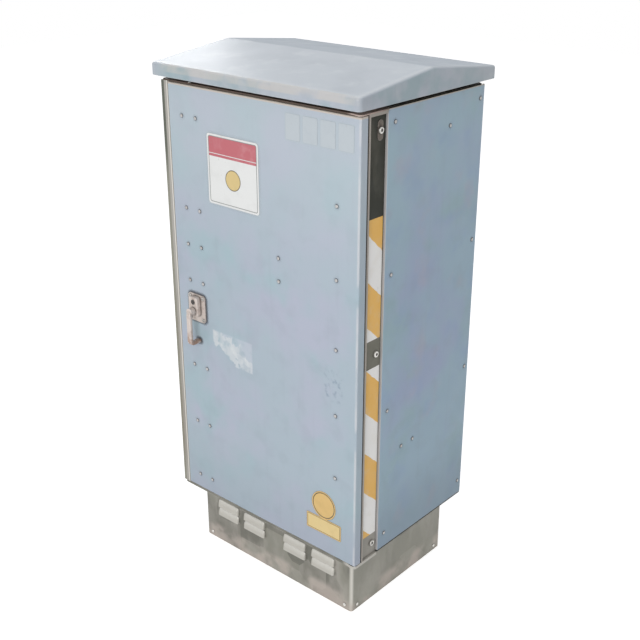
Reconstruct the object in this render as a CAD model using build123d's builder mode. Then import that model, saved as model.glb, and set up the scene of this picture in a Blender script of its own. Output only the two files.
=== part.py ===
"""Roadside utility cabinet, in millimetres.

A galvanised plinth carries a sheet-steel body on four folded posts, one pivoting door with
a lever lock and two latch rods, an overhanging gable roof, and the gear on the back plate.
The origin is the middle of the anchor holes, on the ground. +X is the hinge side, -Y the
front and +Z up.
"""

import math
import os

from build123d import *

os.makedirs("parts", exist_ok=True)

# Driving sizes of the body
body_width = 668.0
body_depth = 500.0
door_height = 1198.0
door_depth = 26.0
stile_width = 23.0
door_gap = 2.0
seal_gap = 4.5

# Sheet thicknesses and shared allowances
door_sheet = 2.0
panel_sheet = 2.0
bend_radius = 3.0
frame_sheet = 2.0
plinth_sheet = 2.5
base_sheet = 3.0
head_sheet = 3.0
hat_sheet = 1.5
cut_overrun = 5.0
hole_clearance = 0.1
running_clearance = 0.05
face_clearance = 0.5

# Plinth
plinth_width = 580.0
plinth_depth = 412.0
plinth_height = 194.0
plinth_bend = 8.0
louvre_width = 84.0
louvre_height = 24.0
louvre_depth = 9.0
louvre_wall = 1.8
louvre_end_radius = 6.0
louvre_low = 97.0
louvre_row_step = 29.0
louvre_column_step = 107.5
louvre_pair_spread = 134.0
corner_leg = 40.0
corner_thickness = 3.0
foot_size = 64.0
foot_thickness = 6.0
anchor_inset = 48.0
anchor_radius = 7.0
plinth_screw_inset = 24.0
plinth_screw_rise = 15.0

# Round-headed screws, rivets and hexagon bolts
screw_head_radius = 5.0
screw_head_height = 2.6
screw_radius = 2.5
rivet_head_radius = 4.4
rivet_head_height = 1.9
rivet_radius = 2.4
rivet_tail_radius = 3.6
rivet_tail_height = 1.2
dome_share = 0.75
half_way = 0.5
bolt_head_radius = 9.0
bolt_head_height = 7.0
bolt_radius = 5.0

# Base plate and gland plate
base_front_setback = 3.0
base_corner = 10.0
base_side_inset = 18.0
base_lip = 5.0
ear_width = 26.0
ear_setback = 0.5
cable_cut_width = 340.0
cable_cut_depth = 160.0
cable_cut_centre = 40.0
gland_plate_margin = 30.0
gland_sheet = 3.0
gland_spacing = 80.0
gland_count = 4
gland_thread_radius = 16.0
gland_hex_radius = 21.0
gland_hex_height = 10.0
gland_nut_height = 5.0
gland_dome_radius = 18.0
gland_dome_height = 22.0
gland_bore_radius = 11.0
gland_edge = 3.0

# Posts, recess and rails
recess_depth = 7.0
recess_width = 62.5
rim_thickness = 4.0
recess_lip = 7.0
flange_width = 46.0
rebate_width = 47.0
stile_setback = 1.0
joggle_offset = 4.0
pad_width = 40.0
rail_depth = 38.0
rail_shelf = 26.0

# Panels
panel_rise = 4.0
panel_drop = 1.0
rear_panel_depth = 8.0
rear_panel_inset = 18.0
rivet_rows = 4
rivet_low = 43.0
rivet_high = 33.0
front_rivet_inset = 26.5
rear_rivet_inset = 18.0
rear_rivet_margin = 26.0
patch_rivet_depth_shares = (0.63, 0.36, 0.233)
patch_rivet_height_shares = (0.933, 0.239, 0.238)

# Recess bolts, slotted plate and striped tape
post_bolt_inset = 42.0
post_bolt_rise_shares = (0.031, 0.498, 0.964)
cap_radius = 8.0
cap_height = 4.6
cap_socket_radius = 4.2
cap_socket_depth = 3.0
cap_bolt_radius = 4.0
washer_thickness = 1.2
slot_plate_width = 20.0
slot_plate_height = 48.0
tape_thickness = 0.4
tape_margin = 3.0
upper_tape_span_shares = (0.532, 0.792)
lower_tape_span_shares = (0.054, 0.468)

# Head plate, curb and roof
curb_inset = 28.0
curb_height = 30.0
roof_side_overhang = 12.5
roof_front_overhang = 21.5
roof_gap = 11.5
roof_fascia = 31.5
roof_rise = 31.0
roof_wall = 4.0
roof_corner = 12.0
roof_edge = 7.0
roof_ridge_radius = 30.0
roof_boss_radius = 14.0
roof_boss_inset_x = 77.5
roof_boss_inset_y = 74.5
roof_bolt_reach = 24.0

# Door edges, seal and pivots
latch_lip = 40.0
hinge_lip = 46.0
cross_lip = 36.0
seal_width = 12.0
seal_thickness = 4.2
seal_inset = 10.0
seal_hinge_inset = 32.0
pivot_inset = 11.0
pivot_setback = 11.5
pivot_radius = 5.0
pivot_length = 14.0
collar_radius = 9.0
collar_clearance = 0.2
bush_radius = 7.0
bush_flange_radius = 8.7
bush_flange = 3.0
bush_length = 10.0

# Door stiffeners and rivets
spindle_inset = 75.0
rivet_spread = 25.75
hat_half_inner = 14.25
hat_depth = 18.0
hat_flange = 20.0
hat_end_margin = 26.0
hat_lock_margin = 68.0
upper_rivet_shares = (0.5555, 0.642, 0.727, 0.9325)
lower_rivet_shares = (0.0385, 0.1895, 0.3415)
hinge_rivet_inset = 69.0
hinge_rivet_shares = (0.206, 0.359, 0.5125, 0.666, 0.8197)
brace_flange = 24.0
brace_lip = 10.0
brace_end = 46.0

# Document pocket
pocket_inset = 259.0
pocket_width = 236.0
pocket_depth = 26.0
pocket_back_height = 290.0
pocket_front_height = 220.0
pocket_sheet = 1.5
pocket_rivet_drop = 24.0
pocket_rivet_step = 62.0
pocket_top_rise = 832.0

# Lock, handle and latch
lock_rise = 585.0
lock_plate_width = 66.0
lock_plate_height = 80.0
lock_plate_lift = 5.0
lock_plate_thickness = 4.0
lock_plate_corner = 10.0
housing_width = 32.0
housing_height = 56.0
housing_lift = 12.0
housing_depth = 14.0
housing_corner = 8.0
housing_edge = 3.0
lock_screw_inset = 8.0
barrel_rise = 26.0
barrel_radius = 7.0
barrel_proud = 1.2
barrel_reach = 2.5
key_slot_width = 1.8
key_slot_height = 7.5
key_slot_depth = 6.0
spigot_radius = 9.0
boss_radius = 11.0
grip_stand_off = 34.0
grip_width = 16.0
grip_thickness = 10.0
grip_corner = 3.5
grip_bend = 9.0
grip_drop = 94.0
spindle_side = 9.0
spindle_tail_radius = 4.0
driver_radius = 29.0
driver_thickness = 4.0
driver_pin_circle = 22.0
driver_pin_radius = 3.0
driver_setback = 19.0
yoke_clearance = 0.9
yoke_margin = 4.2
yoke_thickness = 6.0
yoke_reach = 52.0
yoke_bridge = 10.0
rod_radius = 5.0
rod_setback = 10.5
rod_hole_clearance = 1.0
rod_top_reach = 2.0
rod_foot_rise = 0.5
guide_height = 16.0
guide_shares = (0.12, 0.86)
tongue_length = 48.0
tongue_width = 22.0
tongue_thickness = 4.0
tongue_clearance = 2.0
tongue_corner = 6.0
spindle_nut_radius = 8.0
spindle_nut_height = 6.0

# Plates and labels on the door
sign_width = 181.0
sign_height = 183.0
sign_left = 141.0
sign_drop = 110.0
sign_thickness = 1.0
sign_corner = 8.0
tile_width = 45.0
tile_height = 62.0
tile_pitch = 54.5
tile_count = 4
tile_edge = 20.0
tile_drop = 21.0
label_thickness = 0.4
tile_corner = 3.0
strip_width = 120.0
strip_height = 48.0
strip_edge = 48.0
strip_rise = 57.0
disc_radius = 41.0

# Mounting plate and the gear on it
stud_length = 44.0
stud_radius = 8.0
stud_margin = 24.0
mount_plate_sheet = 2.5
mount_plate_edge = 12.0
mount_plate_rise = 96.0
mount_plate_drop = 70.0
din_width = 35.0
din_depth = 7.5
din_sheet = 1.0
din_flange = 5.0
din_margin = 30.0
din_rise_shares = (0.30, 0.56, 0.82)
duct_width = 40.0
duct_depth = 50.0
duct_sheet = 2.0
duct_edge = 10.0
duct_end = 40.0
duct_slots = 16
duct_slot_width = 8.0
duct_slot_depth = 34.0
terminal_count = 36
terminal_pitch = 8.5
terminal_width = 8.0
terminal_height = 46.0
terminal_depth = 42.0
terminal_step_height = 11.0
terminal_step_depth = 14.0
fuse_count = 12
fuse_pitch = 18.5
fuse_width = 18.0
fuse_height = 84.0
fuse_depth = 60.0
fuse_nose_height = 44.0
fuse_nose_depth = 10.0
module_corner = 1.5
arrester_count = 4
arrester_offset = 90.0
switch_width = 90.0
switch_height = 104.0
switch_depth = 66.0
switch_offset = 110.0
switch_corner = 4.0
switch_ring_radius = 28.0
switch_ring_height = 4.0
knob_radius = 24.0
knob_height = 8.0
knob_grip_width = 13.0
knob_grip_height = 16.0
knob_gap = 0.3
earth_bar_length = 300.0
earth_bar_height = 22.0
earth_bar_thickness = 6.0
earth_rise_share = 0.11
insulator_radius = 11.0
insulator_height = 28.0
insulator_inset = 28.0
earth_screw_count = 12
earth_screw_margin = 60.0

# Faces and levels that follow from the driving sizes
half_width = body_width / 2
front = -body_depth / 2
rear = body_depth / 2
base_top = plinth_height + base_sheet
door_bottom = base_top + door_gap
door_top = door_bottom + door_height
head_bottom = door_top + door_gap
head_top = head_bottom + head_sheet
frame_height = head_bottom - base_top
frame_face = front + door_depth + seal_gap
door_left = -half_width + stile_width + door_gap
door_right = half_width
door_back = front + door_depth
recess_face = half_width - recess_depth
pad_face = half_width - panel_sheet
panel_front = frame_face + rim_thickness + recess_width
ear_end = panel_front - face_clearance
panel_rear = rear - rear_panel_depth
panel_bottom = base_top + panel_rise
panel_top = head_top - panel_drop
rear_panel_half = half_width - rear_panel_inset
rear_pad_face = rear - panel_sheet
spindle_x = door_left + spindle_inset
lock_z = door_bottom + lock_rise
rod_y = front + rod_setback
pivot_x = door_right - pivot_inset
pivot_y = front + pivot_setback
curb_half_x = half_width - curb_inset
curb_half_y = body_depth / 2 - curb_inset
inner_face = front + door_sheet
roof_width = body_width + 2 * roof_side_overhang
roof_depth = body_depth + 2 * roof_front_overhang


def leg(x_low, x_high, y_low, y_high, mode=Mode.ADD):
    """One straight leg of a folded section, a rectangle between two corners of the sketch."""
    with Locations(((x_low + x_high) / 2, (y_low + y_high) / 2)):
        Rectangle(x_high - x_low, y_high - y_low, mode=mode)


def block(x_low, x_high, y_low, y_high, z_low, z_high, mode=Mode.ADD):
    """A box between two corners of the part."""
    with Locations(((x_low + x_high) / 2, (y_low + y_high) / 2, (z_low + z_high) / 2)):
        Box(x_high - x_low, y_high - y_low, z_high - z_low, mode=mode)


def pegs(plane, places, radius, length, mode=Mode.ADD):
    """Round pegs of one length, or holes, standing on a plane at each place."""
    with BuildSketch(plane) as rounds:
        with Locations(*places):
            Circle(radius)
    extrude(rounds.sketch, amount=length, mode=mode)


def hexagons(plane, places, radius, length, mode=Mode.ADD):
    """Six-sided heads of one height, standing on a plane at each place."""
    with BuildSketch(plane) as heads:
        with Locations(*places):
            RegularPolygon(radius, side_count=6)
    extrude(heads.sketch, amount=length, mode=mode)


def front_plane(y):
    """The upright plane at depth y, with its normal to the front."""
    return Plane.XZ.offset(-y)


def spread(low, high, count):
    """Evenly spaced values from low to high."""
    return [low + (high - low) * step / (count - 1) for step in range(count)]


def save(piece, name):
    """Label one finished piece and write its file."""
    piece.part.label = name
    export_step(piece.part, f"parts/{name}.step")


# Plinth skirt: one galvanised sheet folded round three sides, with louvres pressed in the front
plinth_front = -plinth_depth / 2
louvre_columns = [
    side * louvre_pair_spread + half * louvre_column_step / 2
    for side in (-1, 1)
    for half in (-1, 1)
]
louvre_rows = [louvre_low, louvre_low + louvre_row_step]
screw_x = plinth_width / 2 - plinth_screw_inset
screw_y = plinth_depth / 2 - plinth_screw_inset
end_screws = [(-screw_x, plinth_screw_rise), (screw_x, plinth_screw_rise)]
side_screws = [(-screw_y, plinth_screw_rise), (screw_y, plinth_screw_rise)]
screw_hole = screw_radius + hole_clearance
screw_grip = plinth_sheet + corner_thickness


def hood(x, z, depth, height, width, mode):
    """A quarter-round hood that opens downwards, standing on the front of the skirt."""
    with BuildSketch(Plane.YZ.offset(x - width / 2)) as profile:
        with Locations((plinth_front, z)):
            Ellipse(depth, height)
        with Locations((plinth_front - depth / 2, z + height / 2)):
            Rectangle(depth, height, mode=Mode.INTERSECT)
    extrude(profile.sketch, amount=width, mode=mode)


with BuildPart() as plinth_skirt:
    with BuildSketch():
        with BuildLine():
            FilletPolyline(
                (-plinth_width / 2, plinth_depth / 2 - plinth_sheet),
                (-plinth_width / 2, plinth_front),
                (plinth_width / 2, plinth_front),
                (plinth_width / 2, plinth_depth / 2 - plinth_sheet),
                radius=plinth_bend,
            )
            offset(amount=plinth_sheet, side=Side.LEFT)
        make_face()
    extrude(amount=plinth_height)
    for column in louvre_columns:
        for row in louvre_rows:
            hood(column, row, louvre_depth, louvre_height, louvre_width, Mode.ADD)
    fillet(plinth_skirt.edges().filter_by(GeomType.ELLIPSE), louvre_end_radius)
    for column in louvre_columns:
        for row in louvre_rows:
            hood(
                column,
                row,
                louvre_depth - louvre_wall,
                louvre_height - louvre_wall,
                louvre_width - 2 * louvre_end_radius,
                Mode.SUBTRACT,
            )
            block(
                column - louvre_width / 2 + louvre_end_radius,
                column + louvre_width / 2 - louvre_end_radius,
                plinth_front,
                plinth_front + plinth_sheet + cut_overrun,
                row,
                row + louvre_height - louvre_depth,
                mode=Mode.SUBTRACT,
            )
    pegs(front_plane(plinth_front), end_screws, screw_hole, -screw_grip, mode=Mode.SUBTRACT)
    for side in (-1, 1):
        pegs(
            Plane.YZ.offset(side * plinth_width / 2),
            side_screws,
            screw_hole,
            -side * screw_grip,
            mode=Mode.SUBTRACT,
        )
save(plinth_skirt, "plinth_skirt")

# Plinth rear: the flat closing sheet behind the skirt
with BuildPart() as plinth_rear:
    block(
        -plinth_width / 2,
        plinth_width / 2,
        plinth_depth / 2 - plinth_sheet,
        plinth_depth / 2,
        0,
        plinth_height,
    )
    pegs(front_plane(plinth_depth / 2), end_screws, screw_hole, screw_grip, mode=Mode.SUBTRACT)
save(plinth_rear, "plinth_rear")

# Plinth corners: an angle in each corner, with a drilled foot and a drilled top plate
corner_x = plinth_width / 2 - plinth_sheet
corner_y = plinth_depth / 2 - plinth_sheet
anchor_x = plinth_width / 2 - anchor_inset
anchor_y = plinth_depth / 2 - anchor_inset
anchors = [(sx * anchor_x, sy * anchor_y) for sx in (-1, 1) for sy in (-1, 1)]


def corner_vertices(sketch):
    """The vertices of a sketch, the one furthest into the corner of the plinth last."""
    return sketch.vertices().sort_by(lambda vertex: vertex.X + vertex.Y)


with BuildPart() as plinth_corners:
    with BuildSketch() as angle_plan:
        leg(corner_x - corner_leg, corner_x, corner_y - corner_thickness, corner_y)
        leg(corner_x - corner_thickness, corner_x, corner_y - corner_leg, corner_y)
        fillet(corner_vertices(angle_plan)[-2], plinth_bend - corner_thickness)
        fillet(corner_vertices(angle_plan)[-1], plinth_bend)
    extrude(amount=plinth_height)
    for level in (0, plinth_height - foot_thickness):
        with BuildSketch(Plane.XY.offset(level)) as foot_plan:
            leg(corner_x - foot_size, corner_x, corner_y - foot_size, corner_y)
            fillet(corner_vertices(foot_plan)[-1], plinth_bend)
        extrude(amount=foot_thickness)
    mirror(about=Plane.YZ)
    mirror(about=Plane.XZ)
    pegs(Plane.XY, anchors, anchor_radius, foot_thickness, mode=Mode.SUBTRACT)
    pegs(
        Plane.XY.offset(plinth_height),
        anchors,
        bolt_radius + hole_clearance,
        -foot_thickness,
        mode=Mode.SUBTRACT,
    )
    for side in (-1, 1):
        pegs(
            front_plane(side * plinth_depth / 2),
            end_screws,
            screw_hole,
            side * screw_grip,
            mode=Mode.SUBTRACT,
        )
        pegs(
            Plane.YZ.offset(side * plinth_width / 2),
            side_screws,
            screw_hole,
            -side * screw_grip,
            mode=Mode.SUBTRACT,
        )
save(plinth_corners, "plinth_corners")

# Plinth screws: two through each face, into the corner angles
with BuildPart() as plinth_screws:
    for side in (-1, 1):
        end_plane = front_plane(side * plinth_depth / 2)
        side_plane = Plane.YZ.offset(side * plinth_width / 2)
        pegs(end_plane, end_screws, screw_head_radius, -side * screw_head_height)
        pegs(side_plane, side_screws, screw_head_radius, side * screw_head_height)
    rims = plinth_screws.edges().filter_by(GeomType.CIRCLE)
    outer_rims = (
        rims.group_by(Axis.Y)[0]
        + rims.group_by(Axis.Y)[-1]
        + rims.group_by(Axis.X)[0]
        + rims.group_by(Axis.X)[-1]
    )
    fillet(outer_rims, screw_head_height * dome_share)
    for side in (-1, 1):
        end_plane = front_plane(side * plinth_depth / 2)
        side_plane = Plane.YZ.offset(side * plinth_width / 2)
        pegs(end_plane, end_screws, screw_radius, side * screw_grip)
        pegs(side_plane, side_screws, screw_radius, -side * screw_grip)
save(plinth_screws, "plinth_screws")

# Base plate: the floor of the cabinet, folded down round its front and its ears below the two
# recesses, with the cable cut-out and the latch and pivot holes
base_front = front + base_front_setback
base_half = half_width - base_side_inset
pivot_hole = pivot_radius + hole_clearance
rod_hole = rod_radius + rod_hole_clearance


def front_apron(inset, mode=Mode.ADD):
    """The front of a plate, with a rounded corner out to the door's pivot, drawn in by an inset."""
    side = half_width - inset
    corner = base_corner - inset
    with BuildSketch(mode=Mode.PRIVATE) as ear_plan:
        leg(half_width - ear_width + inset, side, front + ear_setback + inset, frame_face)
        fillet(ear_plan.vertices().group_by(Axis.Y)[0], corner)
    with BuildSketch(mode=Mode.PRIVATE) as apron_plan:
        leg(-side, side, base_front + inset, ear_end - inset)
        fillet(apron_plan.vertices().group_by(Axis.Y)[0], corner)
        add(ear_plan.sketch)
    add(apron_plan.sketch, mode=mode)


with BuildPart() as base_plate:
    with BuildSketch(Plane.XY.offset(plinth_height)) as base_plan:
        leg(-base_half, base_half, base_front, panel_rear)
        fillet(base_plan.vertices().group_by(Axis.Y)[-1], base_corner)
        front_apron(0)
        with Locations((0, cable_cut_centre)):
            Rectangle(cable_cut_width, cable_cut_depth, mode=Mode.SUBTRACT)
        with Locations((pivot_x, pivot_y)):
            Circle(pivot_hole, mode=Mode.SUBTRACT)
        with Locations((spindle_x, rod_y)):
            Circle(rod_hole, mode=Mode.SUBTRACT)
        with Locations(*anchors):
            Circle(bolt_radius + hole_clearance, mode=Mode.SUBTRACT)
    extrude(amount=base_sheet)
    with BuildSketch(Plane.XY.offset(plinth_height)):
        front_apron(0)
        front_apron(base_sheet, mode=Mode.SUBTRACT)
        leg(-base_half, base_half, ear_end - base_sheet, ear_end, mode=Mode.SUBTRACT)
    extrude(amount=-base_lip)
save(base_plate, "base_plate")

# Gland plate over the cable cut-out
gland_row = (gland_count - 1) / 2 * gland_spacing
gland_places = [(x, cable_cut_centre) for x in spread(-gland_row, gland_row, gland_count)]
gland_plate_width = cable_cut_width + 2 * gland_plate_margin
gland_plate_depth = cable_cut_depth + 2 * gland_plate_margin
gland_screw_x = gland_plate_width / 2 - gland_plate_margin / 2
gland_screw_y = gland_plate_depth / 2 - gland_plate_margin / 2
gland_screw_places = [
    (sx * gland_screw_x, cable_cut_centre + sy * gland_screw_y) for sx in (-1, 1) for sy in (-1, 1)
]
gland_top = base_top + gland_sheet
with BuildPart() as gland_plate:
    with BuildSketch(Plane.XY.offset(base_top)):
        with Locations((0, cable_cut_centre)):
            RectangleRounded(gland_plate_width, gland_plate_depth, base_corner)
        with Locations(*gland_places):
            Circle(gland_thread_radius + hole_clearance, mode=Mode.SUBTRACT)
    extrude(amount=gland_sheet)
save(gland_plate, "gland_plate")

# Cable glands: a nut below the plate, a hexagon and a domed nut above, bored for a cable
with BuildPart() as cable_glands:
    dome_plane = Plane.XY.offset(gland_top + gland_hex_height)
    pegs(dome_plane, gland_places, gland_dome_radius, gland_dome_height)
    fillet(cable_glands.edges().group_by(Axis.Z)[-1], gland_edge)
    hexagons(Plane.XY.offset(gland_top), gland_places, gland_hex_radius, gland_hex_height)
    pegs(Plane.XY.offset(gland_top), gland_places, gland_thread_radius, -gland_sheet)
    hexagons(Plane.XY.offset(base_top), gland_places, gland_hex_radius, -gland_nut_height)
    gland_length = gland_nut_height + gland_sheet + gland_hex_height + gland_dome_height
    pegs(
        Plane.XY.offset(base_top - gland_nut_height - cut_overrun),
        gland_places,
        gland_bore_radius,
        gland_length + 2 * cut_overrun,
        mode=Mode.SUBTRACT,
    )
save(cable_glands, "cable_glands")

# Rivet and bolt places that the posts and panels share
side_rivet_levels = spread(panel_bottom + rivet_low, panel_top - rivet_high, rivet_rows)
front_rivets = [(panel_front + front_rivet_inset, level) for level in side_rivet_levels]
rear_side_rivets = [(panel_rear - rear_rivet_inset, level) for level in side_rivet_levels]
side_rivets = front_rivets + rear_side_rivets
rear_rivets = [
    (side * (rear_panel_half - rear_rivet_margin), level)
    for side in (-1, 1)
    for level in side_rivet_levels
]
panel_depth = panel_rear - panel_front
panel_height = panel_top - panel_bottom
patch_rivets = [
    (panel_front + depth * panel_depth, panel_bottom + height * panel_height)
    for depth, height in zip(patch_rivet_depth_shares, patch_rivet_height_shares)
]
rivet_hole = rivet_radius + hole_clearance
post_bolts_at = [
    (panel_front - recess_width + post_bolt_inset, base_top + share * frame_height)
    for share in post_bolt_rise_shares
]
cap_hole = cap_bolt_radius + hole_clearance
web_inner = recess_face - frame_sheet
step_y = panel_front + joggle_offset
front_pad_end = step_y + pad_width


def recess_section():
    """The hemmed rim, recessed web and panel pad of a front post, on the +X side."""
    leg(web_inner, half_width, frame_face, frame_face + rim_thickness)
    leg(web_inner, recess_face, frame_face, step_y + frame_sheet)
    leg(web_inner, pad_face, step_y, step_y + frame_sheet)
    leg(pad_face - frame_sheet, pad_face, step_y, front_pad_end)


def trim_foot(side, y_low, y_high):
    """Cut the foot of a post level with the panels where it stands out past the base plate."""
    low, high = sorted((side * base_half, side * (half_width + cut_overrun)))
    block(low, high, y_low, y_high, base_top - cut_overrun, panel_bottom, mode=Mode.SUBTRACT)


def post_holes():
    """Rivet and bolt holes of a front post, on the +X side."""
    pegs(Plane.YZ.offset(pad_face), front_rivets, rivet_hole, -frame_sheet, mode=Mode.SUBTRACT)
    pegs(Plane.YZ.offset(recess_face), post_bolts_at, cap_hole, -frame_sheet, mode=Mode.SUBTRACT)


# Hinge-side front post, with a lip that closes the top of the recess
with BuildPart() as post_front_right:
    with BuildSketch(Plane.XY.offset(base_top)):
        leg(half_width - flange_width, half_width, frame_face, frame_face + frame_sheet)
        recess_section()
    extrude(amount=frame_height)
    block(
        web_inner,
        half_width,
        frame_face,
        panel_front - face_clearance,
        head_bottom - recess_lip,
        head_bottom,
    )
    trim_foot(1, panel_front, front_pad_end)
    post_holes()
save(post_front_right, "post_front_right")

# Lock-side front post: the same recess, and the stile that stands beside the door
stile_face = front + stile_setback
stile_inner = -half_width + stile_width
with BuildPart() as post_front_left:
    with BuildSketch(Plane.XY.offset(base_top)):
        recess_section()
        leg(pad_face, half_width, stile_face, frame_face + rim_thickness)
        leg(-stile_inner, half_width, stile_face, stile_face + frame_sheet)
        leg(-stile_inner, -stile_inner + frame_sheet, stile_face, frame_face + frame_sheet)
        leg(
            -stile_inner - rebate_width + frame_sheet,
            -stile_inner + frame_sheet,
            frame_face,
            frame_face + frame_sheet,
        )
        mirror(about=Plane.YZ, mode=Mode.REPLACE)
    extrude(amount=frame_height)
    block(
        -half_width,
        -web_inner,
        frame_face,
        panel_front - face_clearance,
        head_bottom - recess_lip,
        head_bottom,
    )
    trim_foot(-1, panel_front, front_pad_end)
    for places, face, radius in (
        (front_rivets, pad_face, rivet_hole),
        (post_bolts_at, recess_face, cap_hole),
    ):
        pegs(Plane.YZ.offset(-face), places, radius, frame_sheet, mode=Mode.SUBTRACT)
save(post_front_left, "post_front_left")

# Rear posts: a pad for the side panel, a corner, and a pad for the rear panel
pad_low = panel_rear - joggle_offset - pad_width
pad_high = panel_rear - joggle_offset
rear_step = rear_panel_half - joggle_offset
with BuildPart() as post_rear_right:
    with BuildSketch(Plane.XY.offset(base_top)):
        leg(pad_face - frame_sheet, pad_face, pad_low, pad_high)
        leg(web_inner - frame_sheet, pad_face, pad_high - frame_sheet, pad_high)
        leg(web_inner - frame_sheet, web_inner, pad_high - frame_sheet, pad_high + frame_sheet)
        leg(rear_step - frame_sheet, web_inner, pad_high, pad_high + frame_sheet)
        leg(rear_step - frame_sheet, rear_step, pad_high, rear_pad_face)
        leg(rear_step - pad_width, rear_step, rear_pad_face - frame_sheet, rear_pad_face)
    extrude(amount=frame_height)
    trim_foot(1, pad_low, rear)
    pegs(Plane.YZ.offset(pad_face), rear_side_rivets, rivet_hole, -frame_sheet, mode=Mode.SUBTRACT)
    pegs(front_plane(rear_pad_face), rear_rivets, rivet_hole, frame_sheet, mode=Mode.SUBTRACT)
save(post_rear_right, "post_rear_right")

with BuildPart() as post_rear_left:
    mirror(post_rear_right.part, about=Plane.YZ)
save(post_rear_left, "post_rear_left")

# Sill and header: angles that close the door opening below and above
opening_left = stile_inner - frame_sheet + rebate_width
opening_right = half_width - flange_width
for name, edge, inward in (("sill_rail", base_top, 1), ("header_rail", head_bottom, -1)):
    with BuildPart() as cross_rail:
        low, high = sorted((edge, edge + inward * rail_depth))
        block(opening_left, opening_right, frame_face, frame_face + frame_sheet, low, high)
        low, high = sorted((edge, edge + inward * frame_sheet))
        block(opening_left, opening_right, frame_face, frame_face + rail_shelf, low, high)
    save(cross_rail, name)

# Head plate: closes the body, with ears over the two recesses and the top pivot
roof_boss_x = half_width - roof_boss_inset_x
roof_boss_y = body_depth / 2 - roof_boss_inset_y
roof_bosses = [(sx * roof_boss_x, sy * roof_boss_y) for sx in (-1, 1) for sy in (-1, 1)]
with BuildPart() as head_plate:
    with BuildSketch(Plane.XY.offset(head_bottom)):
        front_apron(0)
        leg(-web_inner, web_inner, ear_end, pad_high + frame_sheet)
        with Locations((pivot_x, pivot_y)):
            Circle(pivot_hole, mode=Mode.SUBTRACT)
        with Locations((spindle_x, rod_y)):
            Circle(rod_hole, mode=Mode.SUBTRACT)
        with Locations(*roof_bosses):
            Circle(bolt_radius + hole_clearance, mode=Mode.SUBTRACT)
    extrude(amount=head_sheet)
save(head_plate, "head_plate")

# Roof curb: four upright strips in the shadow gap below the roof
with BuildPart() as roof_curb:
    curb_top = head_top + curb_height
    for side in (-1, 1):
        low, high = sorted((side * curb_half_y, side * (curb_half_y - frame_sheet)))
        block(-curb_half_x, curb_half_x, low, high, head_top, curb_top)
        low, high = sorted((side * curb_half_x, side * (curb_half_x - frame_sheet)))
        block(low, high, frame_sheet - curb_half_y, curb_half_y - frame_sheet, head_top, curb_top)
save(roof_curb, "roof_curb")

# Roof: a pressed gable shell with rounded edges, seated on four bosses
roof_low = head_top + roof_gap
roof_eave = roof_low + roof_fascia
roof_ridge = roof_eave + roof_rise
roof_slope = roof_rise / (roof_depth / 2)


with BuildPart() as roof_cap:
    with BuildSketch(Plane.YZ.offset(-roof_width / 2)):
        with BuildLine():
            Polyline(
                (-roof_depth / 2, roof_low),
                (-roof_depth / 2, roof_eave),
                (0, roof_ridge),
                (roof_depth / 2, roof_eave),
                (roof_depth / 2, roof_low),
                close=True,
            )
        make_face()
    extrude(amount=roof_width)
    fillet(roof_cap.edges().filter_by(Axis.Z), roof_corner)
    ridge_edge = roof_cap.edges().filter_by(Axis.X).sort_by(Axis.Z)[-1]
    fillet(ridge_edge, roof_ridge_radius)
    rims = roof_cap.edges().filter_by(lambda edge: edge.center().Z > roof_eave - cut_overrun)
    upper_rims = ShapeList(
        edge
        for edge in rims
        if abs(edge.center().X) > roof_boss_x or abs(edge.center().Y) > roof_boss_y
    )
    fillet(upper_rims.filter_by(lambda edge: abs(edge.tangent_at(half_way).Z) < half_way), roof_edge)
    inner_half = roof_depth / 2 - roof_wall
    with BuildSketch(Plane.YZ.offset(-roof_width / 2 + roof_wall)):
        with BuildLine():
            Polyline(
                (-inner_half, roof_low - cut_overrun),
                (-inner_half, roof_eave - roof_wall),
                (0, roof_ridge - roof_wall),
                (inner_half, roof_eave - roof_wall),
                (inner_half, roof_low - cut_overrun),
                close=True,
            )
        make_face()
    extrude(amount=roof_width - 2 * roof_wall, mode=Mode.SUBTRACT)
    boss_top = roof_eave - roof_wall / 2 + (roof_depth / 2 - roof_boss_y) * roof_slope
    pegs(Plane.XY.offset(head_top), roof_bosses, roof_boss_radius, boss_top - head_top)
    pegs(
        Plane.XY.offset(head_top),
        roof_bosses,
        bolt_radius + hole_clearance,
        roof_bolt_reach + face_clearance,
        mode=Mode.SUBTRACT,
    )
save(roof_cap, "roof_cap")

# Frame bolts: the base plate to the plinth, and the roof bosses from inside the cabinet
with BuildPart() as frame_bolts:
    hexagons(Plane.XY.offset(base_top), anchors, bolt_head_radius, bolt_head_height)
    pegs(Plane.XY.offset(base_top), anchors, bolt_radius, -(base_sheet + foot_thickness))
    hexagons(Plane.XY.offset(head_bottom), roof_bosses, bolt_head_radius, -bolt_head_height)
    pegs(Plane.XY.offset(head_bottom), roof_bosses, bolt_radius, head_sheet + roof_bolt_reach)
save(frame_bolts, "frame_bolts")

# Side panels: shallow folded pans, riveted to the pads of the posts
with BuildPart() as side_panel_right:
    block(recess_face, half_width, panel_front, panel_rear, panel_bottom, panel_top)
    fillet(side_panel_right.edges().filter_by(Axis.Z).group_by(Axis.X)[-1], bend_radius)
    block(
        recess_face - cut_overrun,
        pad_face,
        panel_front + panel_sheet,
        panel_rear - panel_sheet,
        panel_bottom - cut_overrun,
        panel_top + cut_overrun,
        mode=Mode.SUBTRACT,
    )
    pegs(
        Plane.YZ.offset(half_width),
        side_rivets + patch_rivets,
        rivet_hole,
        -panel_sheet,
        mode=Mode.SUBTRACT,
    )
save(side_panel_right, "side_panel_right")

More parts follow.
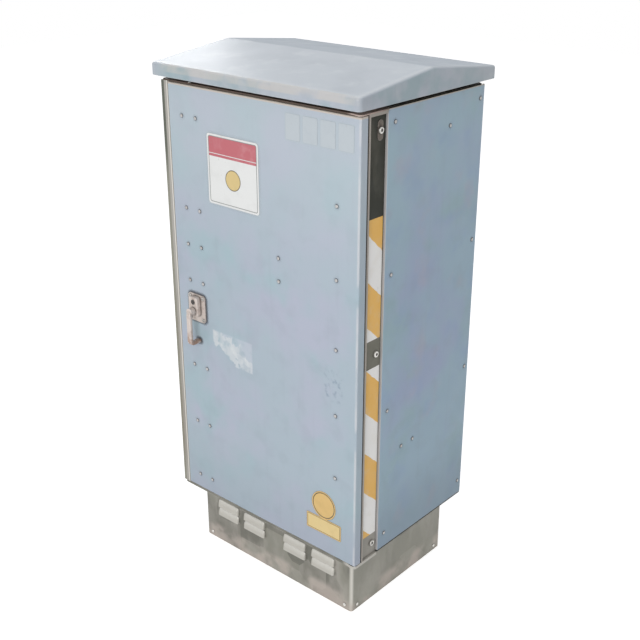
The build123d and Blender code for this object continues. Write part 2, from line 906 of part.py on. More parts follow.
with BuildPart() as side_panel_left:
    block(-half_width, -recess_face, panel_front, panel_rear, panel_bottom, panel_top)
    fillet(side_panel_left.edges().filter_by(Axis.Z).group_by(Axis.X)[0], bend_radius)
    block(
        -pad_face,
        cut_overrun - recess_face,
        panel_front + panel_sheet,
        panel_rear - panel_sheet,
        panel_bottom - cut_overrun,
        panel_top + cut_overrun,
        mode=Mode.SUBTRACT,
    )
    pegs(Plane.YZ.offset(-half_width), side_rivets, rivet_hole, panel_sheet, mode=Mode.SUBTRACT)
save(side_panel_left, "side_panel_left")

# Rear panel: a shallow folded pan
with BuildPart() as rear_panel:
    block(-rear_panel_half, rear_panel_half, panel_rear, rear, panel_bottom, panel_top)
    fillet(rear_panel.edges().filter_by(Axis.Z).group_by(Axis.Y)[-1], bend_radius)
    block(
        panel_sheet - rear_panel_half,
        rear_panel_half - panel_sheet,
        panel_rear - cut_overrun,
        rear_pad_face,
        panel_bottom - cut_overrun,
        panel_top + cut_overrun,
        mode=Mode.SUBTRACT,
    )
    pegs(front_plane(rear), rear_rivets, rivet_hole, panel_sheet, mode=Mode.SUBTRACT)
save(rear_panel, "rear_panel")

# Panel rivets: domed heads outside, formed tails inside
panel_grip = panel_sheet + frame_sheet
with BuildPart() as panel_rivets:
    pegs(Plane.YZ.offset(half_width), side_rivets, rivet_head_radius, rivet_head_height)
    mirror(about=Plane.YZ)
    pegs(Plane.YZ.offset(half_width), patch_rivets, rivet_head_radius, rivet_head_height)
    pegs(front_plane(rear), rear_rivets, rivet_head_radius, -rivet_head_height)
    rims = panel_rivets.edges().filter_by(GeomType.CIRCLE)
    outer_rims = rims.group_by(Axis.X)[0] + rims.group_by(Axis.X)[-1] + rims.group_by(Axis.Y)[-1]
    fillet(outer_rims, rivet_head_height * dome_share)
    for side in (-1, 1):
        plane = Plane.YZ.offset(side * half_width)
        pegs(plane, side_rivets, rivet_radius, -side * panel_grip)
        tail_plane = Plane.YZ.offset(side * (half_width - panel_grip))
        pegs(tail_plane, side_rivets, rivet_tail_radius, -side * rivet_tail_height)
    pegs(Plane.YZ.offset(half_width), patch_rivets, rivet_radius, -panel_sheet)
    pegs(Plane.YZ.offset(pad_face), patch_rivets, rivet_tail_radius, -rivet_tail_height)
    pegs(front_plane(rear), rear_rivets, rivet_radius, panel_grip)
    pegs(front_plane(rear - panel_grip), rear_rivets, rivet_tail_radius, rivet_tail_height)
save(panel_rivets, "panel_rivets")

# Slotted plates under the top recess bolts, one on each side
top_bolt_y, top_bolt_z = post_bolts_at[-1]
with BuildPart() as slot_plates:
    with BuildSketch(Plane.YZ.offset(recess_face)):
        with Locations((top_bolt_y, top_bolt_z)):
            SlotOverall(slot_plate_height, slot_plate_width, rotation=90)
            Circle(cap_hole, mode=Mode.SUBTRACT)
    extrude(amount=washer_thickness)
    mirror(about=Plane.YZ)
save(slot_plates, "slot_plates")

# Recess bolts: round socket heads, the lower two on plain washers
lower_bolts = post_bolts_at[:-1]
with BuildPart() as post_bolts:
    seat = recess_face + washer_thickness
    pegs(Plane.YZ.offset(seat), post_bolts_at, cap_radius, cap_height)
    fillet(post_bolts.edges().group_by(Axis.X)[-1], cap_height - cap_socket_depth)
    hexagons(
        Plane.YZ.offset(seat + cap_height),
        post_bolts_at,
        cap_socket_radius,
        -cap_socket_depth,
        mode=Mode.SUBTRACT,
    )
    pegs(Plane.YZ.offset(seat), lower_bolts, cap_radius, -washer_thickness)
    pegs(Plane.YZ.offset(seat), post_bolts_at, cap_bolt_radius, -washer_thickness - frame_sheet)
    mirror(about=Plane.YZ)
save(post_bolts, "post_bolts")

# Striped tape on the webs of the two recesses
tape_front = frame_face + rim_thickness + tape_margin
tape_rear = panel_front - tape_margin
with BuildPart() as striped_tape:
    for low_share, high_share in (upper_tape_span_shares, lower_tape_span_shares):
        block(
            recess_face,
            recess_face + tape_thickness,
            tape_front,
            tape_rear,
            base_top + low_share * frame_height,
            base_top + high_share * frame_height,
        )
    mirror(about=Plane.YZ)
save(striped_tape, "striped_tape")

# Door seal: four rubber strips glued round the opening
seal_back = frame_face
seal_front = frame_face - seal_thickness
seal_left = door_left + seal_inset
seal_right = door_right - seal_hinge_inset
seal_low = door_bottom + seal_inset
seal_high = door_top - seal_inset
with BuildPart() as door_seal:
    for x in (seal_left, seal_right - seal_width):
        block(x, x + seal_width, seal_front, seal_back, seal_low, seal_high)
    for z in (seal_low, seal_high - seal_width):
        block(
            seal_left + seal_width,
            seal_right - seal_width,
            seal_front,
            seal_back,
            z,
            z + seal_width,
        )
save(door_seal, "door_seal")

# Pivot pins: one up from the base plate, one down from the head plate, each with a collar
collar_height = door_gap - collar_clearance
pivot_place = [(pivot_x, pivot_y)]
pin_length = door_gap + pivot_length
with BuildPart() as pivot_pins:
    pegs(Plane.XY.offset(plinth_height), pivot_place, pivot_radius, base_sheet + pin_length)
    pegs(Plane.XY.offset(base_top), pivot_place, collar_radius, collar_height)
    pegs(Plane.XY.offset(head_top), pivot_place, pivot_radius, -head_sheet - pin_length)
    pegs(Plane.XY.offset(head_bottom), pivot_place, collar_radius, -collar_height)
save(pivot_pins, "pivot_pins")

# Door rivet places
upper_levels = [door_bottom + share * door_height for share in upper_rivet_shares]
lower_levels = [door_bottom + share * door_height for share in lower_rivet_shares]
hinge_levels = [door_bottom + share * door_height for share in hinge_rivet_shares]
hat_rivets = [
    (spindle_x + side * rivet_spread, level)
    for side in (-1, 1)
    for level in upper_levels + lower_levels
]
hinge_rivets = [(door_right - hinge_rivet_inset, level) for level in hinge_levels]
pocket_x = door_right - pocket_inset
pocket_top = door_bottom + pocket_top_rise
pocket_levels = [
    pocket_top - pocket_rivet_drop,
    pocket_top - pocket_rivet_drop - pocket_rivet_step,
]
pocket_rivets = [(pocket_x, level) for level in pocket_levels]
door_rivets_at = hat_rivets + hinge_rivets + pocket_rivets
barrel_z = lock_z + barrel_rise
barrel_hole = barrel_radius + running_clearance
spigot_hole = spigot_radius + running_clearance

# Door: a box-folded pan with deep lips round its back
with BuildPart() as door_panel:
    block(door_left, door_right, front, door_back, door_bottom, door_top)
    fillet(door_panel.edges().filter_by(Axis.Y, reverse=True), bend_radius)
    block(
        door_left + door_sheet,
        door_right - door_sheet,
        inner_face,
        door_back - door_sheet,
        door_bottom + door_sheet,
        door_top - door_sheet,
        mode=Mode.SUBTRACT,
    )
    block(
        door_left + latch_lip,
        door_right - hinge_lip,
        door_back - door_sheet - cut_overrun,
        door_back + cut_overrun,
        door_bottom + cross_lip,
        door_top - cross_lip,
        mode=Mode.SUBTRACT,
    )
    pegs(front_plane(front), door_rivets_at, rivet_hole, -door_sheet, mode=Mode.SUBTRACT)
    pegs(front_plane(front), [(spindle_x, lock_z)], spigot_hole, -door_sheet, mode=Mode.SUBTRACT)
    pegs(front_plane(front), [(spindle_x, barrel_z)], barrel_hole, -door_sheet, mode=Mode.SUBTRACT)
    for level, inward in ((door_bottom, 1), (door_top, -1)):
        plane = Plane.XY.offset(level)
        reach = inward * door_sheet
        pegs(plane, pivot_place, bush_radius + hole_clearance, reach, mode=Mode.SUBTRACT)
        pegs(plane, [(spindle_x, rod_y)], rod_hole, reach, mode=Mode.SUBTRACT)
save(door_panel, "door_panel")

# Pivot bushes in the top and bottom of the door
with BuildPart() as pivot_bushes:
    for level, inward in ((door_bottom, 1), (door_top, -1)):
        plane = Plane.XY.offset(level)
        pegs(plane, pivot_place, bush_radius, inward * bush_length)
        flange_plane = Plane.XY.offset(level + inward * door_sheet)
        pegs(flange_plane, pivot_place, bush_flange_radius, inward * bush_flange)
        bore = pivot_radius + running_clearance
        pegs(plane, pivot_place, bore, inward * bush_length, mode=Mode.SUBTRACT)
save(pivot_bushes, "pivot_bushes")

# Hat stiffeners behind the two columns of rivets, above and below the lock
hat_back = inner_face + hat_depth
hat_half_outer = hat_half_inner + hat_sheet
hat_spans = {
    "door_stiffener_upper": (
        lock_z + hat_lock_margin,
        door_top - door_sheet - hat_end_margin,
        upper_levels,
    ),
    "door_stiffener_lower": (
        door_bottom + door_sheet + hat_end_margin,
        lock_z - hat_lock_margin,
        lower_levels,
    ),
}
for name, (low, high, levels) in hat_spans.items():
    with BuildPart() as hat:
        with BuildSketch(Plane.XY.offset(low)):
            leg(
                spindle_x - hat_half_outer,
                spindle_x + hat_half_outer,
                hat_back - hat_sheet,
                hat_back,
            )
            for side in (-1, 1):
                inner, outer = sorted(
                    (spindle_x + side * hat_half_inner, spindle_x + side * hat_half_outer)
                )
                leg(inner, outer, inner_face, hat_back)
                inner, outer = sorted(
                    (
                        spindle_x + side * hat_half_inner,
                        spindle_x + side * (hat_half_outer + hat_flange),
                    )
                )
                leg(inner, outer, inner_face, inner_face + hat_sheet)
        extrude(amount=high - low)
        holes = [(spindle_x + side * rivet_spread, level) for side in (-1, 1) for level in levels]
        pegs(front_plane(inner_face), holes, rivet_hole, -hat_sheet, mode=Mode.SUBTRACT)
    save(hat, name)

# Hinge-side stiffener: a folded Z behind the single column of rivets
brace_x = door_right - hinge_rivet_inset
brace_back = inner_face + hat_depth
with BuildPart() as door_stiffener_hinge:
    with BuildSketch(Plane.XY.offset(hinge_levels[0] - brace_end)):
        leg(
            brace_x - brace_flange / 2,
            brace_x + brace_flange / 2,
            inner_face,
            inner_face + hat_sheet,
        )
        leg(
            brace_x - brace_flange / 2,
            brace_x - brace_flange / 2 + hat_sheet,
            inner_face,
            brace_back,
        )
        leg(
            brace_x - brace_flange / 2 - brace_lip,
            brace_x - brace_flange / 2 + hat_sheet,
            brace_back - hat_sheet,
            brace_back,
        )
    extrude(amount=hinge_levels[-1] - hinge_levels[0] + 2 * brace_end)
    pegs(front_plane(inner_face), hinge_rivets, rivet_hole, -hat_sheet, mode=Mode.SUBTRACT)
save(door_stiffener_hinge, "door_stiffener_hinge")

# Document pocket: a folded tray riveted inside the door
pocket_left = pocket_x - pocket_width / 2
pocket_right = pocket_x + pocket_width / 2
pocket_low = pocket_top - pocket_back_height
pocket_back = inner_face + pocket_depth
with BuildPart() as document_pocket:
    tray_top = pocket_low + pocket_front_height
    block(pocket_left, pocket_right, inner_face, pocket_back, pocket_low, tray_top)
    block(
        pocket_left + pocket_sheet,
        pocket_right - pocket_sheet,
        inner_face + pocket_sheet,
        pocket_back - pocket_sheet,
        pocket_low + pocket_sheet,
        tray_top + cut_overrun,
        mode=Mode.SUBTRACT,
    )
    block(pocket_left, pocket_right, inner_face, inner_face + pocket_sheet, pocket_low, pocket_top)
    pegs(front_plane(inner_face), pocket_rivets, rivet_hole, -pocket_sheet, mode=Mode.SUBTRACT)
save(document_pocket, "document_pocket")

# Door rivets
door_grip = door_sheet + hat_sheet
with BuildPart() as door_rivets:
    pegs(front_plane(front), door_rivets_at, rivet_head_radius, rivet_head_height)
    fillet(door_rivets.edges().group_by(Axis.Y)[0], rivet_head_height * dome_share)
    pegs(front_plane(front), door_rivets_at, rivet_radius, -door_grip)
    pegs(front_plane(front + door_grip), door_rivets_at, rivet_tail_radius, -rivet_tail_height)
save(door_rivets, "door_rivets")

# Lock plate: a cast plate with a raised housing for the key barrel and the lever
plate_face = front - lock_plate_thickness
housing_face = plate_face - housing_depth
plate_z = lock_z + lock_plate_lift
lock_screws_at = [
    (
        spindle_x + sx * (lock_plate_width / 2 - lock_screw_inset),
        plate_z + sz * (lock_plate_height / 2 - lock_screw_inset),
    )
    for sx in (-1, 1)
    for sz in (-1, 1)
]
with BuildPart() as lock_plate:
    with BuildSketch(front_plane(front)):
        with Locations((spindle_x, plate_z)):
            RectangleRounded(lock_plate_width, lock_plate_height, lock_plate_corner)
    extrude(amount=lock_plate_thickness)
    with BuildSketch(front_plane(plate_face)):
        with Locations((spindle_x, lock_z + housing_lift)):
            RectangleRounded(housing_width, housing_height, housing_corner)
    extrude(amount=housing_depth)
    fillet(lock_plate.edges().group_by(Axis.Y)[0], housing_edge)
    lock_depth = lock_plate_thickness + housing_depth
    pegs(front_plane(front), [(spindle_x, lock_z)], spigot_hole, lock_depth, mode=Mode.SUBTRACT)
    pegs(front_plane(front), [(spindle_x, barrel_z)], barrel_hole, lock_depth, mode=Mode.SUBTRACT)
save(lock_plate, "lock_plate")

with BuildPart() as lock_screws:
    pegs(front_plane(plate_face), lock_screws_at, screw_head_radius, screw_head_height)
    fillet(lock_screws.edges().group_by(Axis.Y)[0], screw_head_height * dome_share)
save(lock_screws, "lock_screws")

# Key barrel, with its slot
barrel_face = housing_face - barrel_proud
barrel_length = barrel_proud + lock_depth + door_sheet + barrel_reach
with BuildPart() as lock_barrel:
    pegs(front_plane(barrel_face), [(spindle_x, barrel_z)], barrel_radius, -barrel_length)
    block(
        spindle_x - key_slot_width / 2,
        spindle_x + key_slot_width / 2,
        barrel_face - cut_overrun,
        barrel_face + key_slot_depth,
        barrel_z - key_slot_height / 2,
        barrel_z + key_slot_height / 2,
        mode=Mode.SUBTRACT,
    )
save(lock_barrel, "lock_barrel")

# Door handle: a cast lever whose grip stands off the door and turns back to it at the foot
grip_y = front - grip_stand_off
foot_z = lock_z - grip_drop
spigot_end = inner_face + face_clearance
boss_face = housing_face - face_clearance
with BuildPart() as door_handle:
    with BuildLine():
        FilletPolyline(
            (spindle_x, boss_face, lock_z),
            (spindle_x, grip_y, lock_z),
            (spindle_x, grip_y, foot_z),
            (spindle_x, front - face_clearance, foot_z),
            radius=grip_bend,
        )
    with BuildSketch(front_plane(boss_face)):
        with Locations((spindle_x, lock_z)):
            RectangleRounded(grip_width, grip_thickness, grip_corner)
    sweep()
    pegs(front_plane(boss_face), [(spindle_x, lock_z)], boss_radius, boss_face - grip_y)
    pegs(front_plane(spigot_end), [(spindle_x, lock_z)], spigot_radius, spigot_end - boss_face)
save(door_handle, "door_handle")

# Spindle: a square bar behind the handle, with a round tail for its nut
driver_front = inner_face + driver_setback
driver_back = driver_front + driver_thickness
tongue_front = frame_face + frame_sheet + tongue_clearance
tongue_back = tongue_front + tongue_thickness
square = spindle_side + 2 * hole_clearance
with BuildPart() as handle_spindle:
    block(
        spindle_x - spindle_side / 2,
        spindle_x + spindle_side / 2,
        spigot_end,
        tongue_back,
        lock_z - spindle_side / 2,
        lock_z + spindle_side / 2,
    )
    pegs(front_plane(tongue_back), [(spindle_x, lock_z)], spindle_tail_radius, -spindle_nut_height)
save(handle_spindle, "handle_spindle")

# Rod driver: a disc on the spindle with two pins for the rods
pin_offset = driver_pin_circle / math.sqrt(2)
pins_at = [(spindle_x - way * pin_offset, lock_z + way * pin_offset) for way in (1, -1)]
driver_pin_length = driver_front - (rod_y - yoke_thickness / 2) + face_clearance
with BuildPart() as rod_driver:
    pegs(front_plane(driver_back), [(spindle_x, lock_z)], driver_radius, driver_thickness)
    pegs(front_plane(driver_front), pins_at, driver_pin_radius, driver_pin_length)
    block(
        spindle_x - square / 2,
        spindle_x + square / 2,
        driver_front - cut_overrun,
        driver_back + cut_overrun,
        lock_z - square / 2,
        lock_z + square / 2,
        mode=Mode.SUBTRACT,
    )
save(rod_driver, "rod_driver")

# Latch tongue, behind the lip of the lock-side post
with BuildPart() as latch_tongue:
    with BuildSketch(front_plane(tongue_back)) as tongue_plan:
        leg(
            spindle_x - tongue_length,
            spindle_x + tongue_width / 2,
            lock_z - tongue_width / 2,
            lock_z + tongue_width / 2,
        )
        fillet(tongue_plan.vertices(), tongue_corner)
        with Locations((spindle_x, lock_z)):
            Rectangle(square, square, mode=Mode.SUBTRACT)
    extrude(amount=tongue_thickness)
save(latch_tongue, "latch_tongue")

with BuildPart() as spindle_nut:
    nut_at = [(spindle_x, lock_z)]
    hexagons(front_plane(tongue_back), nut_at, spindle_nut_radius, -spindle_nut_height)
    nut_bore = spindle_tail_radius + running_clearance
    pegs(front_plane(tongue_back), nut_at, nut_bore, -spindle_nut_height, mode=Mode.SUBTRACT)
save(spindle_nut, "spindle_nut")

# Latch rods: round bars with a slotted yoke over the driver's pin, one up and one down
slot_half = driver_pin_radius + yoke_clearance
slot_outer = driver_pin_circle + slot_half
slot_inner = pin_offset - slot_half
yoke_outer = slot_outer + yoke_margin
yoke_inner = slot_inner - yoke_margin
yoke_front = rod_y - yoke_thickness / 2
yoke_back = rod_y + yoke_thickness / 2
rod_tips = {
    "upper_rod": (1, head_top + rod_top_reach),
    "lower_rod": (-1, plinth_height + rod_foot_rise),
}
for name, (way, tip) in rod_tips.items():
    with BuildPart() as latch_rod:
        left, right = sorted((spindle_x - way * yoke_outer, spindle_x - way * yoke_inner))
        low, high = sorted((lock_z + way * (slot_inner - yoke_margin), lock_z + way * yoke_reach))
        block(left, right, yoke_front, yoke_back, low, high)
        left, right = sorted((spindle_x - way * yoke_outer, spindle_x + way * rod_radius))
        low, high = sorted((lock_z + way * (yoke_reach - yoke_bridge), lock_z + way * yoke_reach))
        block(left, right, yoke_front, yoke_back, low, high)
        left, right = sorted((spindle_x - way * slot_outer, spindle_x - way * slot_inner))
        block(
            left,
            right,
            yoke_front - cut_overrun,
            yoke_back + cut_overrun,
            lock_z + way * pin_offset - slot_half,
            lock_z + way * pin_offset + slot_half,
            mode=Mode.SUBTRACT,
        )
        rod_start = lock_z + way * (yoke_reach - yoke_bridge)
        pegs(Plane.XY.offset(rod_start), [(spindle_x, rod_y)], rod_radius, tip - rod_start)
    save(latch_rod, name)

# Rod guides: moulded blocks that fill the hats and carry the rods
with BuildPart() as rod_guides:
    for low, high, levels in hat_spans.values():
        for share in guide_shares:
            middle = low + share * (high - low)
            block(
                spindle_x - hat_half_inner,
                spindle_x + hat_half_inner,
                inner_face,
                hat_back - hat_sheet,
                middle - guide_height / 2,
                middle + guide_height / 2,
            )
            pegs(
                Plane.XY.offset(middle - guide_height / 2),
                [(spindle_x, rod_y)],
                rod_radius + running_clearance,
                guide_height,
                mode=Mode.SUBTRACT,
            )
save(rod_guides, "rod_guides")

# Sign plate, number tiles and the two-part label on the door
sign_x = door_left + sign_left + sign_width / 2
sign_z = door_top - sign_drop - sign_height / 2
with BuildPart() as sign_plate:
    with BuildSketch(front_plane(front)):
        with Locations((sign_x, sign_z)):
            RectangleRounded(sign_width, sign_height, sign_corner)
    extrude(amount=sign_thickness)
save(sign_plate, "sign_plate")

last_tile_x = door_right - tile_edge - tile_width / 2
tile_places = [
    (last_tile_x - step * tile_pitch, door_top - tile_drop - tile_height / 2)
    for step in range(tile_count)
]
with BuildPart() as number_tiles:
    with BuildSketch(front_plane(front)):
        with Locations(*tile_places):
            RectangleRounded(tile_width, tile_height, tile_corner)
    extrude(amount=label_thickness)
save(number_tiles, "number_tiles")

strip_x = door_right - strip_edge - strip_width / 2
strip_z = door_bottom + strip_rise + strip_height / 2
with BuildPart() as door_label:
    with BuildSketch(front_plane(front)):
        with Locations((strip_x, strip_z)):
            RectangleRounded(strip_width, strip_height, tile_corner)
        with Locations((strip_x, strip_z + strip_height / 2 + disc_radius)):
            Circle(disc_radius + face_clearance)
    extrude(amount=label_thickness)
save(door_label, "door_label")

# Mounting plate on four studs from the rear posts
stud_back = rear_pad_face - frame_sheet
mount_back = stud_back - stud_length
mount_front = mount_back - mount_plate_sheet
mount_low = base_top + mount_plate_rise
mount_high = head_bottom - mount_plate_drop
mount_half = rear_step - mount_plate_edge
mount_height = mount_high - mount_low
studs_at = [
    (side * (rear_step - stud_margin), level)
    for side in (-1, 1)
    for level in (mount_low + stud_margin, mount_high - stud_margin)
]
with BuildPart() as mounting_studs:
    pegs(front_plane(stud_back), studs_at, stud_radius, stud_length)
save(mounting_studs, "mounting_studs")

with BuildPart() as mounting_plate:
    block(-mount_half, mount_half, mount_front, mount_back, mount_low, mount_high)
save(mounting_plate, "mounting_plate")

# Mounting rails: top-hat strips across the plate
din_levels = [mount_low + share * mount_height for share in din_rise_shares]
din_front = mount_front - din_depth
din_half = din_width / 2
din_wall = din_half - din_flange
duct_outer = mount_half - duct_edge
duct_inner = duct_outer - duct_width
din_length = 2 * (duct_inner - din_margin)
with BuildPart() as mounting_rails:
    for level in din_levels:
        with BuildSketch(Plane.YZ.offset(-din_length / 2)):
            leg(mount_front - din_sheet, mount_front, level - din_wall, level + din_wall)
            for side in (-1, 1):
                inner = level + side * (din_wall - din_sheet)
                low, high = sorted((inner, level + side * din_wall))
                leg(din_front, mount_front, low, high)
                low, high = sorted((inner, level + side * din_half))
                leg(din_front, din_front + din_sheet, low, high)
        extrude(amount=din_length)
save(mounting_rails, "mounting_rails")

# Wiring ducts: slotted channels up both sides of the plate
duct_front = mount_front - duct_depth
duct_low = mount_low + duct_end
duct_high = mount_high - duct_end
slot_levels = spread(duct_low + duct_end, duct_high - duct_end, duct_slots)
with BuildPart() as wiring_ducts:
    for side in (-1, 1):
        inner, outer = sorted((side * duct_outer, side * duct_inner))
        block(inner, outer, duct_front, mount_front, duct_low, duct_high)
        block(
            inner + duct_sheet,
            outer - duct_sheet,
            duct_front - cut_overrun,
            mount_front - duct_sheet,
            duct_low - cut_overrun,
            duct_high + cut_overrun,
            mode=Mode.SUBTRACT,
        )
        for level in slot_levels:
            block(
                inner - cut_overrun,
                outer + cut_overrun,
                duct_front - cut_overrun,
                duct_front + duct_slot_depth,
                level - duct_slot_width / 2,
                level + duct_slot_width / 2,
                mode=Mode.SUBTRACT,
            )
save(wiring_ducts, "wiring_ducts")


def module_row(level, first_x, count, pitch, width, height, depth, nose_height, nose_depth):
    """A row of like modules on a mounting rail, each with a raised nose."""
    for step in range(count):
        x = first_x + step * pitch
        body_front = din_front - depth + nose_depth
        block(x, x + width, body_front, din_front, level - height / 2, level + height / 2)
        block(
            x,
            x + width,
            body_front - nose_depth,
            body_front,
            level - nose_height / 2,
            level + nose_height / 2,
        )


# Terminal blocks on the lowest rail
terminal_start = -terminal_count * terminal_pitch / 2
terminal_nose = terminal_height - 2 * terminal_step_height
with BuildPart() as terminal_blocks:
    module_row(
        din_levels[0],
        terminal_start,
        terminal_count,
        terminal_pitch,
        terminal_width,
        terminal_height,
        terminal_depth,
        terminal_nose,
        terminal_step_depth,
    )
save(terminal_blocks, "terminal_blocks")

# Fuse holders on the middle rail
fuse_start = -fuse_count * fuse_pitch / 2
with BuildPart() as fuse_holders:
    module_row(
        din_levels[1],
        fuse_start,
        fuse_count,
        fuse_pitch,
        fuse_width,
        fuse_height,
        fuse_depth,
        fuse_nose_height,
        fuse_nose_depth,
    )
save(fuse_holders, "fuse_holders")

# Surge arresters on the top rail
with BuildPart() as surge_arresters:
    module_row(
        din_levels[2],
        arrester_offset - arrester_count * fuse_pitch / 2,
        arrester_count,
        fuse_pitch,
        fuse_width,
        fuse_height,
        fuse_depth,
        fuse_nose_height,
        fuse_nose_depth,
    )
save(surge_arresters, "surge_arresters")

# Main switch on the top rail, and its turning knob
switch_face = din_front - switch_depth
ring_face = switch_face - switch_ring_height
knob_back = ring_face - knob_gap
switch_at = [(-switch_offset, din_levels[2])]
with BuildPart() as switch_body:
    with BuildSketch(front_plane(din_front)):
        with Locations(*switch_at):
            RectangleRounded(switch_width, switch_height, switch_corner)
    extrude(amount=switch_depth)
    pegs(front_plane(switch_face), switch_at, switch_ring_radius, switch_ring_height)
save(switch_body, "switch_body")

knob_grip_half = math.sqrt(knob_radius**2 - (knob_grip_width / 2) ** 2)
with BuildPart() as switch_knob:
    pegs(front_plane(knob_back), switch_at, knob_radius, knob_height)
    block(
        -switch_offset - knob_grip_width / 2,
        -switch_offset + knob_grip_width / 2,
        knob_back - knob_height - knob_grip_height,
        knob_back - knob_height,
        din_levels[2] - knob_grip_half,
        din_levels[2] + knob_grip_half,
    )
save(switch_knob, "switch_knob")

# Earth bar on two insulators
earth_z = mount_low + earth_rise_share * mount_height
earth_face = mount_front - insulator_height - earth_bar_thickness
insulator_x = earth_bar_length / 2 - insulator_inset
insulators_at = [(-insulator_x, earth_z), (insulator_x, earth_z)]
with BuildPart() as earth_insulators:
    pegs(front_plane(mount_front), insulators_at, insulator_radius, insulator_height)
save(earth_insulators, "earth_insulators")

with BuildPart() as earth_bar:
    block(
        -earth_bar_length / 2,
        earth_bar_length / 2,
        earth_face,
        earth_face + earth_bar_thickness,
        earth_z - earth_bar_height / 2,
        earth_z + earth_bar_height / 2,
    )
save(earth_bar, "earth_bar")

# Screws of the earth bar and the gland plate
earth_screw_span = earth_bar_length / 2 - earth_screw_margin
earth_screws_at = [(x, earth_z) for x in spread(-earth_screw_span, earth_screw_span, earth_screw_count)]
with BuildPart() as inner_screws:
    pegs(front_plane(earth_face), earth_screws_at, screw_head_radius, screw_head_height)
    fillet(inner_screws.edges().group_by(Axis.Y)[0], screw_head_height * dome_share)
    pegs(Plane.XY.offset(gland_top), gland_screw_places, screw_head_radius, screw_head_height)
    gland_rims = inner_screws.edges().filter_by(
        lambda edge: abs(edge.center().Z - gland_top - screw_head_height) < running_clearance
    )
    fillet(gland_rims, screw_head_height * dome_share)
save(inner_screws, "inner_screws")
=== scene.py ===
"""Looks of a roadside utility cabinet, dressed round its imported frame, in metres.

+X is the hinge side, -Y the front with the door and +Z up. The origin is on the ground.
"""

import math

import bmesh
import bpy
from mathutils import Matrix, Vector


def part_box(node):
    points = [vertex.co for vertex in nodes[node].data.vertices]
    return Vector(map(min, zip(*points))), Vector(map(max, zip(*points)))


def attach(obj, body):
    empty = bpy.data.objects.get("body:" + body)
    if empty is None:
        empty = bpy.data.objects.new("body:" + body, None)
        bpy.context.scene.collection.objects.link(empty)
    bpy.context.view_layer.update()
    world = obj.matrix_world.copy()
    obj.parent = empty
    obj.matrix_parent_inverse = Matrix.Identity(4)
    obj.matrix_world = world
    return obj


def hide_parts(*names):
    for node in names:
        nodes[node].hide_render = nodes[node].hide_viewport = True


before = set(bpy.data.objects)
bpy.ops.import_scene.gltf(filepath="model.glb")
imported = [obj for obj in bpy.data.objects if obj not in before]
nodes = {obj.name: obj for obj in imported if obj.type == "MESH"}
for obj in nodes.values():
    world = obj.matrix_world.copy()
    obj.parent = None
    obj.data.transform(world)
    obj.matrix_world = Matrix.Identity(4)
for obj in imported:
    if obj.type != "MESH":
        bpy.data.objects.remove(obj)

scene = bpy.context.scene
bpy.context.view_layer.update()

MM = 0.001
PER_METRE = 1000.0
QUARTER_TURN = math.pi / 2
FACING_FRONT = Matrix.Rotation(QUARTER_TURN, 4, "X")

# Camera, floor and light
CAMERA_PLACE = (1.7623, -2.0130, 1.9011)
CAMERA_AIM = (-0.60525, 0.68872, -0.39917)
SENSOR_WIDTH = 36.0
LENS_LENGTH = 58.53
FLOOR_HALF = 9.0
FLOOR_GLOW = 0.62
SKY_FILL = 0.5
KEY_PLACE, KEY_AIM, KEY_SIZE, KEY_POWER = (1.3, -4.2, 2.3), (0.0, 0.0, 0.75), 2.4, 91.0
TOP_PLACE, TOP_AIM, TOP_SIZE, TOP_POWER = (0.0, 0.3, 4.4), (0.0, 0.0, 1.4), 2.0, 22.0
RIM_PLACE, RIM_AIM, RIM_SIZE, RIM_POWER = (-3.62, 2.31, 2.68), (-0.3, 0.0, 1.45), 0.9, 10.5

# Faces and edges of the cabinet that the finishes follow
door_low, door_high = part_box("door_panel")
panel_low, panel_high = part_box("side_panel_right")
post_low, post_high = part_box("post_front_right")
plinth_low, plinth_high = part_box("plinth_corners")
roof_low, roof_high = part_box("roof_cap")
stile_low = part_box("post_front_left")[0]
tape_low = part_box("striped_tape")[0]
curb_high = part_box("roof_curb")[1]

# Grain of the finishes, in millimetres across; pitting and mould grain are drawn coarser than
# the real ones, so that they show close up
CLOUD = 260.0
HAZE = 150.0
GRIME = 55.0
RUN = 16.0
RUB = 34.0
BLUSH = 90.0
SPECK = 5.0
PEEL = 3.0
DENT = 210.0
SPANGLE = 9.0
SHEET_BLOCK = 95.0
RAGGED = 14.0
TORN = 26.0
PITTING = 1.6
MOULD_GRAIN = 0.8

# Octaves of the noise in blotches, in orange peel and in plain swells
BLOTCH_DETAIL = 4.0
PEEL_DETAIL = 2.0
SWELL_DETAIL = 1.0
DENT_WEIGHT = 4.0

# Rays that feel for edges and corners
EDGE_RAYS = 6
CORNER_RAYS = 8

# Sockets of the Mix node for colours
MIX_FACTOR, MIX_UNDER, MIX_OVER, MIX_COLOUR = 0, 6, 7, 2

# Reach of edge wear and of corner dirt and painted shade, in millimetres
SHEET_WEAR = 3.0
FOLD_WEAR = 4.0
SMALL_WEAR = 1.2
RIVET_DIRT_AND_SHADE = 9.0
SHEET_DIRT_AND_SHADE = 8.0
SMALL_DIRT_AND_SHADE = 6.0

# Depth of the reliefs, in millimetres
PEEL_DEPTH = 0.08
SHEET_DEPTH = 0.05
METAL_DEPTH = 0.03
PLASTIC_DEPTH = 0.02

